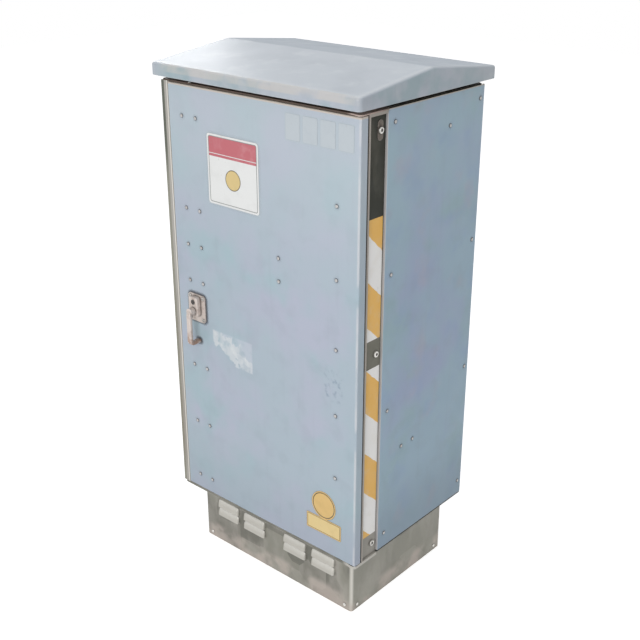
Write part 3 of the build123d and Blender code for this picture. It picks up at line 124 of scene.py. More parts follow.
# Noise values where a patch starts and where it is full
MOST_SHARES = (0.34, 0.56)
HALF_SHARES = (0.42, 0.62)
SOME_SHARES = (0.48, 0.72)
FEW_SHARES = (0.56, 0.78)
RARE_SHARES = (0.68, 0.76)
EDGE_SHARES = (0.98, 0.78)
CORNER_SHARES = (0.97, 0.45)
RING_SHARES = (0.975, 0.87)
HEAD_SHARES = (0.97, 0.80)
WAVER_SHARES = (0.2, 0.8)
BLOCK_SHARES = (0.55, 0.70)
SKY_SHARES = (0.5, 0.9)
FASCIA_SHARES = (0.5, 0.2)
HOOD_HIGHLIGHT_SHARES = (0.15, 0.6)
HOOD_SHADE_SHARES = (-0.1, -0.5)
STRIPE_SHARES = (0.495, 0.505)

# Stretch of a pattern: even, drawn out upright, a little taller than wide
EVEN = (1.0, 1.0, 1.0)
UPRIGHT = (1.0, 1.0, 0.05)
TALL = (1.0, 1.0, 0.45)

# Specular level and metal share of the finishes
COAT_SHEEN = 0.35
FILM_SHEEN = 0.35
ZINC_SHEEN = 0.3
RUBBER_SHEEN = 0.3
PRIMER_SHEEN = 0.2
SHEET_METAL_SHARE = 0.25
BOLT_METAL_SHARE = 0.6
PLATE_METAL_SHARE = 0.3
RIVET_METAL_SHARE = 0.4
CAST_METAL_SHARE = 0.25
BARREL_METAL_SHARE = 0.7
BRASS_METAL_SHARE = 0.95

# Roughness of the finishes where they shine most and where they are dullest
DOOR_ROUGH_SHARES = (0.42, 0.54)
SIDE_ROUGH_SHARES = (0.44, 0.56)
ROOF_ROUGH_SHARES = (0.33, 0.75)
ZINC_ROUGH_SHARES = (0.50, 0.66)
PRIMER_ROUGH_SHARES = (0.55, 0.68)
RUST_ROUGH_SHARES = (0.70, 0.80)
RUBBER_ROUGH_SHARES = (0.62, 0.76)
BOLT_ROUGH_SHARES = (0.28, 0.46)
PLATE_ROUGH_SHARES = (0.45, 0.60)
RIVET_ROUGH_SHARES = (0.34, 0.50)
CAST_ROUGH_SHARES = (0.40, 0.58)
BARREL_ROUGH_SHARES = (0.35, 0.50)
BRASS_ROUGH_SHARES = (0.25, 0.45)
TAPE_ROUGH_SHARES = (0.45, 0.58)
SIGN_ROUGH_SHARES = (0.36, 0.48)
PRINT_ROUGH_SHARES = (0.38, 0.50)
TILE_ROUGH_SHARES = (0.40, 0.52)
LABEL_ROUGH_SHARES = (0.42, 0.54)
NYLON_ROUGH_SHARES = (0.40, 0.53)
MOULD_ROUGH_SHARES = (0.37, 0.50)
KNOB_ROUGH_SHARES = (0.30, 0.43)
PANE_ROUGH_SHARES = (0.25, 0.38)
FLOOR_ROUGH = 0.9

# How strongly the finishes are weathered
DOOR_GRIME = 0.14
SIDE_GRIME = 0.16
ROOF_GRIME = 0.22
PLINTH_CONTRAST = 0.85
BASE_CONTRAST = 0.4
SHEET_CONTRAST = 0.25
FILM_WEAR_AND_SHADE = 0.4
TAPE_WEAR_AND_SHADE = 0.2

# Striped tape in the recesses
STRIPE_START = 998.0 * MM
STRIPE_PERIOD = 234.6 * MM
STRIPE_FALL = 0.92
STRIPE_RAG = 3.0 * MM

# Torn notice and old glue on the door, clean sheet round its plates
NOTICE_LOW, NOTICE_HIGH = (-181.0 * MM, 648.0 * MM), (-25.0 * MM, 742.0 * MM)
NOTICE_FALL = 0.60
NOTICE_MIDDLE = 633.0 * MM
NOTICE_HALF = 36.0 * MM
NOTICE_RAG = 60.0 * MM
GLUE_LOW, GLUE_HIGH = (218.0 * MM, 660.0 * MM), (297.0 * MM, 765.0 * MM)
MARK_FADE = 6.0 * MM
GLUE_FADE = 22.0 * MM
FIELD_CLEAR = 4.0 * MM
SKIN_DEPTH = 1.0 * MM

# Worn bands, painted shade and painted highlights on the door, the panels, the roof and the plates' ears
BEND_BAND = 4.0 * MM
HEAD_BAND = 6.0 * MM
HINGE_BAND = 8.0 * MM
TOP_SHADE = 40.0 * MM
FOOT_SHADE = 240.0 * MM
EAVE_RISE = 31.5 * MM
ROOF_BEND = 9.0 * MM
ROOF_ROLL = 24.0 * MM
RIDGE_FADE = 6.0 * MM
EAR_REACH = 48.0 * MM

# Levels on the posts, the plinth and the handle
WEB_LOW, WEB_MIDDLE, WEB_HIGH = 450.0 * MM, 700.0 * MM, 900.0 * MM
WEB_DARK = 1120.0 * MM
STILE_DARK = 1180.0 * MM
STILE_FADE = 60.0 * MM
STILE_STEP = 10.0 * MM
STILE_LINE = 5.0 * MM
RIM_DEPTH = 2.0 * MM
RUST_RISE, RUST_FULL = 62.0 * MM, 36.0 * MM
GROUND_CLEAR = 12.0 * MM
HOOD_START, HOOD_FULL = 0.5 * MM, 2.5 * MM
BEND_REACH = 9.0 * MM
SKIRT_REST = 3.0 * MM
HANDLE_FOOT, HANDLE_RUST = 690.0 * MM, 738.0 * MM

# Printed fields on the sign and the label
PRINT_HEIGHT = 0.15 * MM
SIGN_MARGIN = 5.0 * MM
SIGN_CORNER = 6.0 * MM
SIGN_LINE = 1.8 * MM
BAND_HEIGHT_SHARE = 0.29
BAND_RULE = 2.0 * MM
BAND_FOOT = 6.5 * MM
SIGN_DISC = 27.0 * MM
SIGN_DISC_RISE_SHARE = 0.40
DISC_LINE = 2.0 * MM
LABEL_MARGIN = 3.0 * MM
LABEL_LINE = 2.4 * MM
LABEL_CORNER = 2.0 * MM
STRIP_HEIGHT = 48.0 * MM
STRIP_LINE = 1.2 * MM

# Rounding of the new pieces
ARC_STEPS = 10
DISC_STEPS = 4 * ARC_STEPS
EDGE_STEPS = 3
UNIT_HALF = 0.5
SHARP_ANGLE = math.pi / 4

# Screw heads
HEAD_FLOOR_SHARE = 0.45
HEAD_CROWN_SHARE = 0.92
LAND_EDGE_SHARE = 0.2
SLOT_CUTS = ((0.0, 0.0, 1.0),)
CROSS_CUTS = ((1.0, 0.0, 0.0), (0.0, 0.0, 1.0))
LOCK_HEAD = 5.0 * MM
LOCK_SLOT = 1.6 * MM
TERMINAL_HEAD = 2.7 * MM
TERMINAL_HEAD_RISE = 1.2 * MM
TERMINAL_SLOT = 0.9 * MM

# Gear on the mounting rails
TERMINAL_COUNT = 36
TERMINAL_WIDTH = 8.0 * MM
TERMINAL_STEP = 14.0 * MM
TERMINAL_SCREW = 17.5 * MM
MARKER_WIDTH, MARKER_HEIGHT = 5.4 * MM, 9.0 * MM
MARKER_RISE = 0.8 * MM
FUSE_COUNT = 12
ARRESTER_COUNT = 4
MODULE_WIDTH = 18.0 * MM
LEVER_WIDTH, LEVER_HEIGHT, LEVER_RISE = 11.0 * MM, 32.0 * MM, 6.0 * MM
CARTRIDGE_WIDTH, CARTRIDGE_HEIGHT, CARTRIDGE_RISE = 15.0 * MM, 38.0 * MM, 4.0 * MM
WINDOW_WIDTH, WINDOW_HEIGHT = 6.0 * MM, 4.0 * MM
WINDOW_DROP = 11.0 * MM
MOULD_EDGE = 1.2 * MM
SWITCH_RING = 4.0 * MM
TICK_WIDTH, TICK_LENGTH = 2.0 * MM, 8.0 * MM
TICK_RADIUS = 36.0 * MM
TICK_TURNS = 2
TICK_CORNER = 0.9 * MM
KNOB_LINE_LENGTH = 14.0 * MM
KNOB_LINE_INSET = 3.0 * MM

# Rubber seals round the door's opening and the cabinet's floor
SEAL_WIDTH = 12.0 * MM
SEAL_CORNER = 14.0 * MM
SEAL_ROUND_SHARE = 0.95
FLOOR_SEAL_REST = 0.2 * MM
FLOOR_SEAL_DROP = 3.0 * MM
FLOOR_SEAL_LAP = 5.0 * MM
FLOOR_SEAL_RISE = 3.0 * MM
FLOOR_SEAL_EDGE = 1.0 * MM


def hex_linear(code):
    """An sRGB hex colour as linear red, green, blue and alpha."""
    channels = [int(code[start : start + 2], 16) / 255 for start in (1, 3, 5)]
    linear = [c / 12.92 if c <= 0.04045 else ((c + 0.055) / 1.055) ** 2.4 for c in channels]
    return (*linear, 1.0)


def add(tree, kind, inputs=None, **settings):
    """Add one node, set its properties, and fill or link its inputs."""
    node = tree.nodes.new("ShaderNode" + kind)
    for name, value in settings.items():
        setattr(node, name, value)
    for name, value in (inputs or {}).items():
        if isinstance(value, bpy.types.NodeSocket):
            tree.links.new(value, node.inputs[name])
        else:
            node.inputs[name].default_value = value
    return node


def start_finish(name, **sockets):
    """A new node material: its tree, its shader with constant sockets set, and Object coordinates."""
    material = bpy.data.materials.new(name)
    material.use_nodes = True
    tree = material.node_tree
    shader = tree.nodes["Principled BSDF"]
    for socket, value in sockets.items():
        shader.inputs[socket.replace("_", " ")].default_value = value
    place = add(tree, "TexCoord").outputs["Object"]
    return material, tree, shader, place


def patches(tree, place, size, shares, seed=0, stretch=EVEN):
    """Soft blotches about size millimetres across, 0 below the first share and 1 above the second."""
    spot = add(tree, "Mapping", {"Vector": place, "Scale": stretch, "Location": (seed, seed, seed)})
    grain = {"Vector": spot.outputs[0], "Scale": PER_METRE / size, "Detail": BLOTCH_DETAIL}
    cloud = add(tree, "TexNoise", grain).outputs[0]
    limits = {"Value": cloud, "From Min": shares[0], "From Max": shares[1]}
    return add(tree, "MapRange", limits, interpolation_type="SMOOTHSTEP").outputs[0]


def level(tree, place, axis, low, high):
    """A smooth rise from 0 at the first place along an axis to 1 at the second."""
    value = add(tree, "SeparateXYZ", {0: place}).outputs[axis]
    limits = {"Value": value, "From Min": low, "From Max": high}
    return add(tree, "MapRange", limits, interpolation_type="SMOOTHSTEP").outputs[0]


def window(tree, place, low, high, fade):
    """Four masks that together are 1 inside an upright rectangle and fade out at its edges."""
    masks = []
    for axis, start, end in zip("XZ", low, high):
        masks.append(level(tree, place, axis, start, start + fade))
        masks.append(level(tree, place, axis, end, end - fade))
    return masks


def worn_edges(tree, reach):
    """Where edges have rubbed: 1 on an edge, fading to 0 about reach millimetres away."""
    rounded = add(tree, "Bevel", {"Radius": reach * MM}, samples=EDGE_RAYS).outputs[0]
    flat = add(tree, "NewGeometry").outputs["Normal"]
    facing = add(tree, "VectorMath", {0: rounded, 1: flat}, operation="DOT_PRODUCT")
    limits = {"Value": facing.outputs["Value"], "From Min": EDGE_SHARES[0], "From Max": EDGE_SHARES[1]}
    return add(tree, "MapRange", limits).outputs[0]


def corners(tree, reach, shares=CORNER_SHARES):
    """Where dirt settles and shade falls: 1 in corners and round raised heads, 0 in the open; laid on as
    dirt and painted shade.
    """
    open_sky = add(tree, "AmbientOcclusion", {"Distance": reach * MM}, samples=CORNER_RAYS)
    limits = {"Value": open_sky.outputs["AO"], "From Min": shares[0], "From Max": shares[1]}
    return add(tree, "MapRange", limits).outputs[0]


def skyward(tree, shares=SKY_SHARES):
    """1 on faces that look up, 0 on upright ones, or the other way round by the shares."""
    normal = add(tree, "NewGeometry").outputs["Normal"]
    rise = add(tree, "SeparateXYZ", {0: normal}).outputs["Z"]
    limits = {"Value": rise, "From Min": shares[0], "From Max": shares[1]}
    return add(tree, "MapRange", limits).outputs[0]


def flanks(tree, place, edge):
    """1 on both outer sides from an edge outwards, 0 between them."""
    side = add(tree, "SeparateXYZ", {0: place}).outputs["X"]
    out = add(tree, "Math", {0: side}, operation="ABSOLUTE").outputs[0]
    limits = {"Value": out, "From Min": edge - RIM_DEPTH, "From Max": edge}
    return add(tree, "MapRange", limits).outputs[0]


def outer_skin(tree, place):
    """1 on the door's outer face, 0 behind it."""
    return level(tree, place, "Y", door_low[1] + SKIN_DEPTH, door_low[1] + SKIN_DEPTH / 2)


def hinge_ear(tree, place):
    """1 on the hinge-side ear of the base plate or the head plate, 0 on the rest."""
    return level(tree, place, "X", door_high[0] - EAR_REACH, door_high[0] - EAR_REACH / 2)


def coats(tree, base, layers):
    """Lay tones over a base colour, each by its strength times its masks."""
    colour = hex_linear(base)
    for tone, strength, *masks in layers:
        factor = strength
        for mask in masks:
            factor = add(tree, "Math", {0: mask, 1: factor}, operation="MULTIPLY").outputs[0]
        mix = {MIX_FACTOR: factor, MIX_UNDER: colour, MIX_OVER: hex_linear(tone)}
        colour = add(tree, "Mix", mix, data_type="RGBA").outputs[MIX_COLOUR]
    return colour


def dress(tree, shader, colour, gloss, rough, height, depth):
    """Give a shader its colour, its roughness range by a gloss mask, and a relief in millimetres."""
    spread = add(tree, "MapRange", {"Value": gloss, "To Min": rough[0], "To Max": rough[1]})
    bump = add(tree, "Bump", {"Height": height, "Distance": depth * MM})
    ends = {"Base Color": colour, "Roughness": spread.outputs[0], "Normal": bump.outputs[0]}
    for socket, value in ends.items():
        tree.links.new(value, shader.inputs[socket])


def no_marks(tree, place):
    """A finish without marks of its own."""
    return []


def door_marks(tree, place):
    """Door: paler high up, darker at the foot, a torn paper notice and old glue on its face."""
    outer = outer_skin(tree, place)
    notice = [outer, *window(tree, place, NOTICE_LOW, NOTICE_HIGH, MARK_FADE)]
    torn = patches(tree, place, TORN, WAVER_SHARES, 3)
    across = add(tree, "VectorMath", {0: place, 1: (NOTICE_FALL, 0.0, 1.0)}, operation="DOT_PRODUCT")
    ragged = {0: torn, 1: NOTICE_RAG, 2: across.outputs["Value"]}
    along = add(tree, "Math", ragged, operation="MULTIPLY_ADD").outputs[0]
    middle = NOTICE_MIDDLE + NOTICE_RAG / 2
    strip = [
        add(tree, "MapRange", {"Value": along, "From Min": edge, "From Max": edge + fade}).outputs[0]
        for edge, fade in ((middle - NOTICE_HALF, MARK_FADE), (middle + NOTICE_HALF, -MARK_FADE))
    ]
    upper = add(tree, "MapRange", {"Value": along, "From Min": middle, "From Max": middle + NOTICE_HALF})
    glue = [outer, *window(tree, place, GLUE_LOW, GLUE_HIGH, GLUE_FADE)]
    upper_door = level(tree, place, "Z", WEB_HIGH, door_high[2])
    return [
        ("#bec8cf", 0.50, upper_door),
        ("#8f9da8", 0.30, level(tree, place, "Z", door_low[2] + FOOT_SHADE, door_low[2])),
        ("#c6cbd6", 0.50, *notice, upper.outputs[0], patches(tree, place, TORN, MOST_SHARES, 5)),
        ("#cdd2d6", 0.80, *notice, *strip, patches(tree, place, RUB, MOST_SHARES, 8)),
        ("#e4e6e6", 0.40, *notice, *strip, patches(tree, place, TORN, SOME_SHARES, 9)),
        ("#8494a6", 0.80, *glue, patches(tree, place, RAGGED, SOME_SHARES, 2)),
    ]


def door_edges(tree, place):
    """The door's pale bends, a painted highlight with rubbed paint on the hinge-side one, its beige top
    edge, and clean sheet round the tiles and the sign.
    """
    outer = outer_skin(tree, place)
    front = level(tree, place, "Y", door_low[1] + BEND_BAND, door_low[1])
    hinge = level(tree, place, "X", door_high[0] - HINGE_BAND, door_high[0] - BEND_BAND)
    free = level(tree, place, "X", door_low[0] + BEND_BAND, door_low[0])
    head = level(tree, place, "Z", door_high[2] - HEAD_BAND, door_high[2] - HEAD_BAND / 2)
    fields = []
    for low, high in (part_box("number_tiles"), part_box("sign_plate")):
        start = (low[0] - FIELD_CLEAR, low[2] - FIELD_CLEAR)
        end = (high[0] + FIELD_CLEAR, high[2] + FIELD_CLEAR)
        field = window(tree, place, start, end, FIELD_CLEAR / 2)
        fields.append(("#b5c0c8", 0.80, outer, *field))
    return [
        *fields,
        # Painted highlight, with rubbed paint, along the hinge-side bend
        ("#d6d6d8", 0.60, hinge, front, patches(tree, place, BLUSH, MOST_SHARES, 6)),
        ("#d8d5ce", 0.80, free, front),
        ("#d3c6b8", 0.85, head),
    ]


def panel_marks(tree, place):
    """Side panels: paler high up, rusty below the top edge, darker at the foot."""
    shade = level(tree, place, "Z", panel_high[2] - TOP_SHADE, panel_high[2])
    foot = level(tree, place, "Z", panel_low[2] + FOOT_SHADE, panel_low[2])
    high = level(tree, place, "Z", WEB_HIGH, panel_high[2])
    return [
        ("#a9c3cc", 0.45, high),
        ("#93a8c8", 0.40, patches(tree, place, BLUSH, SOME_SHARES, 11)),
        ("#b3acb8", 0.35, patches(tree, place, BLUSH, FEW_SHARES, 13)),
        ("#768593", 0.50, foot),
        ("#9a8c86", 0.35, shade, patches(tree, place, BLUSH, SOME_SHARES, 8)),
    ]


def panel_edges(tree, place):
    """The side panels' beige front return and cream top edge."""
    fold = level(tree, place, "Y", panel_low[1] + RIM_DEPTH, panel_low[1] + RIM_DEPTH / 2)
    head = level(tree, place, "Z", panel_high[2] - BEND_BAND, panel_high[2])
    return [("#b4b0ae", 0.85, fold), ("#c9bba9", 0.85, head)]


def roof_marks(tree, place):
    """Roof: bleached on top, blotchy on its upright faces, a painted highlight on its rolls, beige at
    its front.
    """
    eave = roof_low[2] + EAVE_RISE
    bend = level(tree, place, "Y", roof_low[1] + ROOF_BEND, roof_low[1] + ROOF_BEND / 2)
    above = level(tree, place, "Z", eave - ROOF_BEND, eave - ROOF_BEND / 2)
    side = level(tree, place, "X", roof_high[0] - ROOF_ROLL, roof_high[0] - ROOF_BEND)
    front = level(tree, place, "Y", roof_low[1] + ROOF_ROLL, roof_low[1] + ROOF_BEND)
    top = skyward(tree)
    fascia = skyward(tree, FASCIA_SHARES)
    return [
        ("#93a9b0", 0.60, fascia, patches(tree, place, BLUSH, HALF_SHARES, 15)),
        ("#c2c8c9", 0.45, fascia, patches(tree, place, GRIME, FEW_SHARES, 16)),
        ("#bac2cb", 0.90, top),
        ("#a6afb9", 0.45, top, patches(tree, place, HAZE, SOME_SHARES, 12)),
        ("#ccd2d8", 0.40, top, patches(tree, place, GRIME, SOME_SHARES, 14, TALL)),
        # Painted highlight: paler bands on the top along the rounded side and front edges
        ("#ccd1d6", 0.45, top, side),
        ("#ccd1d6", 0.35, top, front),
        ("#cbc5be", 0.55, bend, above, patches(tree, place, BLUSH, MOST_SHARES, 2)),
    ]


def sheet_matt(tree, place):
    """Upright sheets dulled in patches."""
    return patches(tree, place, GRIME, WAVER_SHARES, 6)


def roof_matt(tree, place):
    """The roof: glossy on its front slope, chalky behind the ridge."""
    behind = level(tree, place, "Y", -RIDGE_FADE, RIDGE_FADE)
    return add(tree, "Math", {0: behind, 1: skyward(tree)}, operation="MULTIPLY").outputs[0]


def weathered_coat(name, tones, rough, grime, marks, trims, matt=sheet_matt):
    """Satin powder coat on sheet steel after years outdoors.

    Faded in broad clouds, dark with dirt and painted shade in the corners and round the rivets, pale
    where the edges have rubbed, with faint runs down the sheet and orange peel.
    """
    material, tree, shader, place = start_finish(name, Specular_IOR_Level=COAT_SHEEN)
    main, cool, green = tones
    rub = worn_edges(tree, SHEET_WEAR)
    rubbed = patches(tree, place, RUB, MOST_SHARES, 7)
    layers = [
        (cool, 1.0, patches(tree, place, CLOUD, HALF_SHARES)),
        (green, 1.0, patches(tree, place, HAZE, SOME_SHARES, 3)),
        ("#8b96a2", grime, patches(tree, place, GRIME, SOME_SHARES, 1)),
        ("#7f8890", grime / 2, patches(tree, place, RUN, FEW_SHARES, 5, UPRIGHT)),
        ("#d3d9de", grime, patches(tree, place, SPECK, RARE_SHARES, 2)),
        *marks(tree, place),
        ("#cbd0d3", 0.75, rub, rubbed),
        ("#b4978b", 0.60, rub, rubbed, patches(tree, place, BLUSH, SOME_SHARES, 4)),
        # Dirt and painted shade in the corners and round the rivets
        ("#43464d", 0.80, corners(tree, RIVET_DIRT_AND_SHADE, RING_SHARES)),
        *trims(tree, place),
    ]
    skin = {"Vector": place, "Scale": PER_METRE / PEEL, "Detail": PEEL_DETAIL}
    swell = {"Vector": place, "Scale": PER_METRE / DENT, "Detail": SWELL_DETAIL}
    peel = add(tree, "TexNoise", skin).outputs[0]
    dents = add(tree, "TexNoise", swell).outputs[0]
    uneven = {0: dents, 1: DENT_WEIGHT, 2: peel}
    height = add(tree, "Math", uneven, operation="MULTIPLY_ADD").outputs[0]
    dress(tree, shader, coats(tree, main, layers), matt(tree, place), rough, height, PEEL_DEPTH)
    return material


def skirt_marks(tree, place):
    """Plinth: paler sides, pale louvre hoods with painted highlights on top and painted shade below,
    pale corner bends, rust along the ground.
    """
    skirt_face = plinth_low[1] - SKIRT_REST
    hoods = level(tree, place, "Y", skirt_face - HOOD_START, skirt_face - HOOD_FULL)
    side = level(tree, place, "X", plinth_high[0] - BEND_REACH, plinth_high[0] + SKIRT_REST / 2)
    bend_front = level(tree, place, "Y", plinth_low[1] + BEND_REACH, plinth_low[1])
    ground = level(tree, place, "Z", RUST_RISE, RUST_FULL)
    return [
        ("#a3a298", 0.40, side),
        ("#d9d6ce", 0.90, side, bend_front),
        ("#c4c1b9", 0.95, hoods),
        # Painted highlight on the hoods' upward faces
        ("#e6e4de", 0.70, hoods, skyward(tree, HOOD_HIGHLIGHT_SHARES)),
        # Painted shade on the hoods' downward faces
        ("#8a877e", 0.80, hoods, skyward(tree, HOOD_SHADE_SHARES)),
        ("#c3b8b0", 0.70, ground, patches(tree, place, BLUSH, HALF_SHARES, 3)),
    ]


def base_marks(tree, place):
    """Base plate: pale worn zinc on the hinge-side ear and its folded edge, also painted light on the
    ear's top in the shaded recess.
    """
    front = level(tree, place, "Y", panel_low[1], panel_low[1] - MARK_FADE)
    # Worn zinc and painted light: the hinge-side ear, whose top lies in the recess's shade, is painted
    # pale
    return [("#c6c3bc", 0.85, front, hinge_ear(tree, place))]


def galvanised(name, tones, contrast, marks):
    """Hot-dip galvanised sheet: dull zinc with large crystals, weathered in upright blotches."""
    material, tree, shader, place = start_finish(
        name, Metallic=SHEET_METAL_SHARE, Specular_IOR_Level=ZINC_SHEEN
    )
    main, dark, light = tones
    spangle = add(tree, "TexVoronoi", {"Vector": place, "Scale": PER_METRE / SPANGLE})
    crystal = add(tree, "SeparateColor", {0: spangle.outputs["Color"]}).outputs[0]
    cells = {"Vector": place, "Scale": PER_METRE / SHEET_BLOCK}
    blocks = add(tree, "TexVoronoi", cells, distance="CHEBYCHEV")
    shades = add(tree, "SeparateColor", {0: blocks.outputs["Color"]}).outputs
    dim, bright = (
        add(tree, "MapRange", {"Value": shade, "From Min": BLOCK_SHARES[0], "From Max": BLOCK_SHARES[1]})
        for shade in shades[:2]
    )
    rub = worn_edges(tree, FOLD_WEAR)
    layers = [
        (dark, contrast, dim.outputs[0]),
        (light, contrast / 2, bright.outputs[0]),
        (dark, contrast, patches(tree, place, GRIME, SOME_SHARES, 4, TALL)),
        (light, contrast, patches(tree, place, BLUSH, SOME_SHARES, 1, TALL)),
        (light, 0.14, crystal),
        *marks(tree, place),
        # Dirt and painted shade in the corners, kept off the ground
        ("#56544c", 0.50, corners(tree, SHEET_DIRT_AND_SHADE), level(tree, place, "Z", 0.0, GROUND_CLEAR)),
        ("#c4c1b8", 0.70, rub, patches(tree, place, RUB, MOST_SHARES, 9)),
    ]
    colour = coats(tree, main, layers)
    dress(tree, shader, colour, crystal, ZINC_ROUGH_SHARES, crystal, SHEET_DEPTH)
    return material


def recess_rims(tree, place):
    """Posts: pale rims along their outermost edges, round the recesses."""
    return [("#b3aca4", 0.90, flanks(tree, place, post_high[0] - RIM_DEPTH))]


def stile_bands(tree, place):
    """The lock-side post: also a pale stile beside the door, olive high up on its outer half."""
    face = level(tree, place, "Y", stile_low[1] + RIM_DEPTH, stile_low[1] + RIM_DEPTH / 2)
    near = level(tree, place, "Y", stile_low[1] + STILE_STEP, stile_low[1] + STILE_STEP / 2)
    middle = stile_low[0] + STILE_STEP
    line = door_low[0] - STILE_LINE
    inner = level(tree, place, "X", middle - RIM_DEPTH, middle + RIM_DEPTH)
    outer = level(tree, place, "X", middle + RIM_DEPTH, middle - RIM_DEPTH)
    high = level(tree, place, "Z", STILE_DARK - STILE_FADE, STILE_DARK + STILE_FADE)
    return [
        *recess_rims(tree, place),
        ("#959489", 0.95, face),
        ("#b0ada7", 0.90, face, inner),
        ("#7d6f5d", 0.30, face, patches(tree, place, BLUSH, SOME_SHARES, 3, TALL)),
        ("#5d6159", 0.90, face, outer, high),
        ("#e2ded6", 0.90, near, level(tree, place, "X", line - RIM_DEPTH, line)),
    ]


def primed_steel(name, main, trims):
    """Folded steel posts and plates in dull olive primer, darker high up, chipped along the folds, with
    dirt and painted shade in the corners.
    """
    material, tree, shader, place = start_finish(name, Specular_IOR_Level=PRIMER_SHEEN)
    rub = worn_edges(tree, SMALL_WEAR)
    layers = [
        ("#7b7a70", 1.0, level(tree, place, "Z", WEB_LOW, WEB_MIDDLE)),
        ("#3a3b35", 1.0, level(tree, place, "Z", WEB_HIGH, WEB_DARK)),
        ("#8a8678", 0.18, patches(tree, place, GRIME, SOME_SHARES, 1, TALL)),
        # Dirt and painted shade in the corners
        ("#2c2a26", 0.45, corners(tree, SMALL_DIRT_AND_SHADE)),
        ("#bdb4a8", 0.70, rub, patches(tree, place, RUB, MOST_SHARES, 1)),
        *trims(tree, place),
    ]
    gloss = patches(tree, place, GRIME, HALF_SHARES, 4)
    chips = patches(tree, place, SPECK, HALF_SHARES, 2)
    colour = coats(tree, main, layers)
    dress(tree, shader, colour, gloss, PRIMER_ROUGH_SHARES, chips, SHEET_DEPTH)
    return material


def ear_marks(tree, place):
    """Head plate: brown in the shadow gap, pinkish primer showing at the hinge-side ear."""
    front = level(tree, place, "Y", post_high[1], post_low[1])
    return [("#64564d", 1.0, front), ("#c9b4aa", 0.90, front, hinge_ear(tree, place))]


def handle_marks(tree, place):
    """Rust creeping up from the foot of the handle."""
    foot = level(tree, place, "Z", HANDLE_RUST, HANDLE_FOOT)
    return [("#94694f", 0.75, foot, patches(tree, place, RAGGED, MOST_SHARES, 1))]


def worn_metal(name, main, dark, rough, metallic, marks=no_marks, shares=CORNER_SHARES):
    """Plated or cast metal handled outdoors: bright on its edges, dark in its corners with dirt and
    painted shade.
    """
    material, tree, shader, place = start_finish(name, Metallic=metallic)
    layers = [
        (dark, 1.0, patches(tree, place, RAGGED, SOME_SHARES)),
        *marks(tree, place),
        ("#e0dbd5", 0.50, worn_edges(tree, SMALL_WEAR)),
        # Dirt and painted shade in the corners and round the heads
        ("#3a322d", 0.85, corners(tree, SMALL_DIRT_AND_SHADE, shares)),
    ]
    gloss = patches(tree, place, SMALL_DIRT_AND_SHADE, HALF_SHARES, 3)
    pits = patches(tree, place, PITTING, HALF_SHARES, 2)
    dress(tree, shader, coats(tree, main, layers), gloss, rough, pits, METAL_DEPTH)
    return material


def moulded(name, main, dull, rough):
    """Injection-moulded plastic: even colour, a fine spark-eroded grain, and dust and painted shade in
    its corners.
    """
    material, tree, shader, place = start_finish(name)
    layers = [
        (dull, 1.0, patches(tree, place, RUB, HALF_SHARES)),
        # Dust and painted shade in the corners
        ("#3a3936", 0.60, corners(tree, SMALL_DIRT_AND_SHADE)),
    ]
    gloss = patches(tree, place, RAGGED, HALF_SHARES, 2)
    fine = {"Vector": place, "Scale": PER_METRE / MOULD_GRAIN, "Detail": SWELL_DETAIL}
    grain = add(tree, "TexNoise", fine).outputs[0]
    dress(tree, shader, coats(tree, main, layers), gloss, rough, grain, PLASTIC_DEPTH)
    return material


def stripe_marks(tree, place):
    """Slanting ochre stripes with ragged edges."""
    fall = add(tree, "VectorMath", {0: place, 1: (0.0, STRIPE_FALL, 1.0)}, operation="DOT_PRODUCT")
    rag = patches(tree, place, RAGGED, WAVER_SHARES, 2)
    ragged = {0: rag, 1: STRIPE_RAG, 2: fall.outputs["Value"]}
    along = add(tree, "Math", ragged, operation="MULTIPLY_ADD").outputs[0]
    start = STRIPE_START + STRIPE_FALL * tape_low[1] + STRIPE_RAG / 2
    offset = add(tree, "Math", {0: along, 1: start}, operation="SUBTRACT").outputs[0]
    turns = add(tree, "Math", {0: offset, 1: STRIPE_PERIOD}, operation="DIVIDE").outputs[0]
    phase = add(tree, "Math", {0: turns, 1: 1.0}, operation="FLOORED_MODULO").outputs[0]
    limits = {"Value": phase, "From Min": STRIPE_SHARES[0], "From Max": STRIPE_SHARES[1]}
    return [("#f0be68", 1.0, add(tree, "MapRange", limits).outputs[0])]


def film(name, main, stain, rough, marks=no_marks, wear_and_shade=FILM_WEAR_AND_SHADE):
    """Printed adhesive film: colour faded by the sun, dusty, with scuffs and chips, and painted shade in
    its corners.
    """
    material, tree, shader, place = start_finish(name, Specular_IOR_Level=FILM_SHEEN)
    scuffs = patches(tree, place, SMALL_DIRT_AND_SHADE, RARE_SHARES, 4, TALL)
    layers = [
        *marks(tree, place),
        (stain, wear_and_shade, patches(tree, place, RUB, SOME_SHARES)),
        ("#9a958a", wear_and_shade, scuffs),
        # Dirt and painted shade in the corners
        ("#4f4a45", wear_and_shade, corners(tree, SMALL_DIRT_AND_SHADE)),
    ]
    gloss = patches(tree, place, GRIME, HALF_SHARES, 1)
    dress(tree, shader, coats(tree, main, layers), gloss, rough, scuffs, METAL_DEPTH)
    return material


def rubber(name, main):
    """Black extruded sealing rubber: matt, bloomed grey in patches."""
    material, tree, shader, place = start_finish(name, Specular_IOR_Level=RUBBER_SHEEN)
    layers = [("#4a4a48", 0.40, patches(tree, place, RUB, SOME_SHARES))]
    gloss = patches(tree, place, RAGGED, HALF_SHARES, 1)
    skin = patches(tree, place, PITTING, HALF_SHARES, 2)
    colour = coats(tree, main, layers)
    dress(tree, shader, colour, gloss, RUBBER_ROUGH_SHARES, skin, SHEET_DEPTH)
    return material


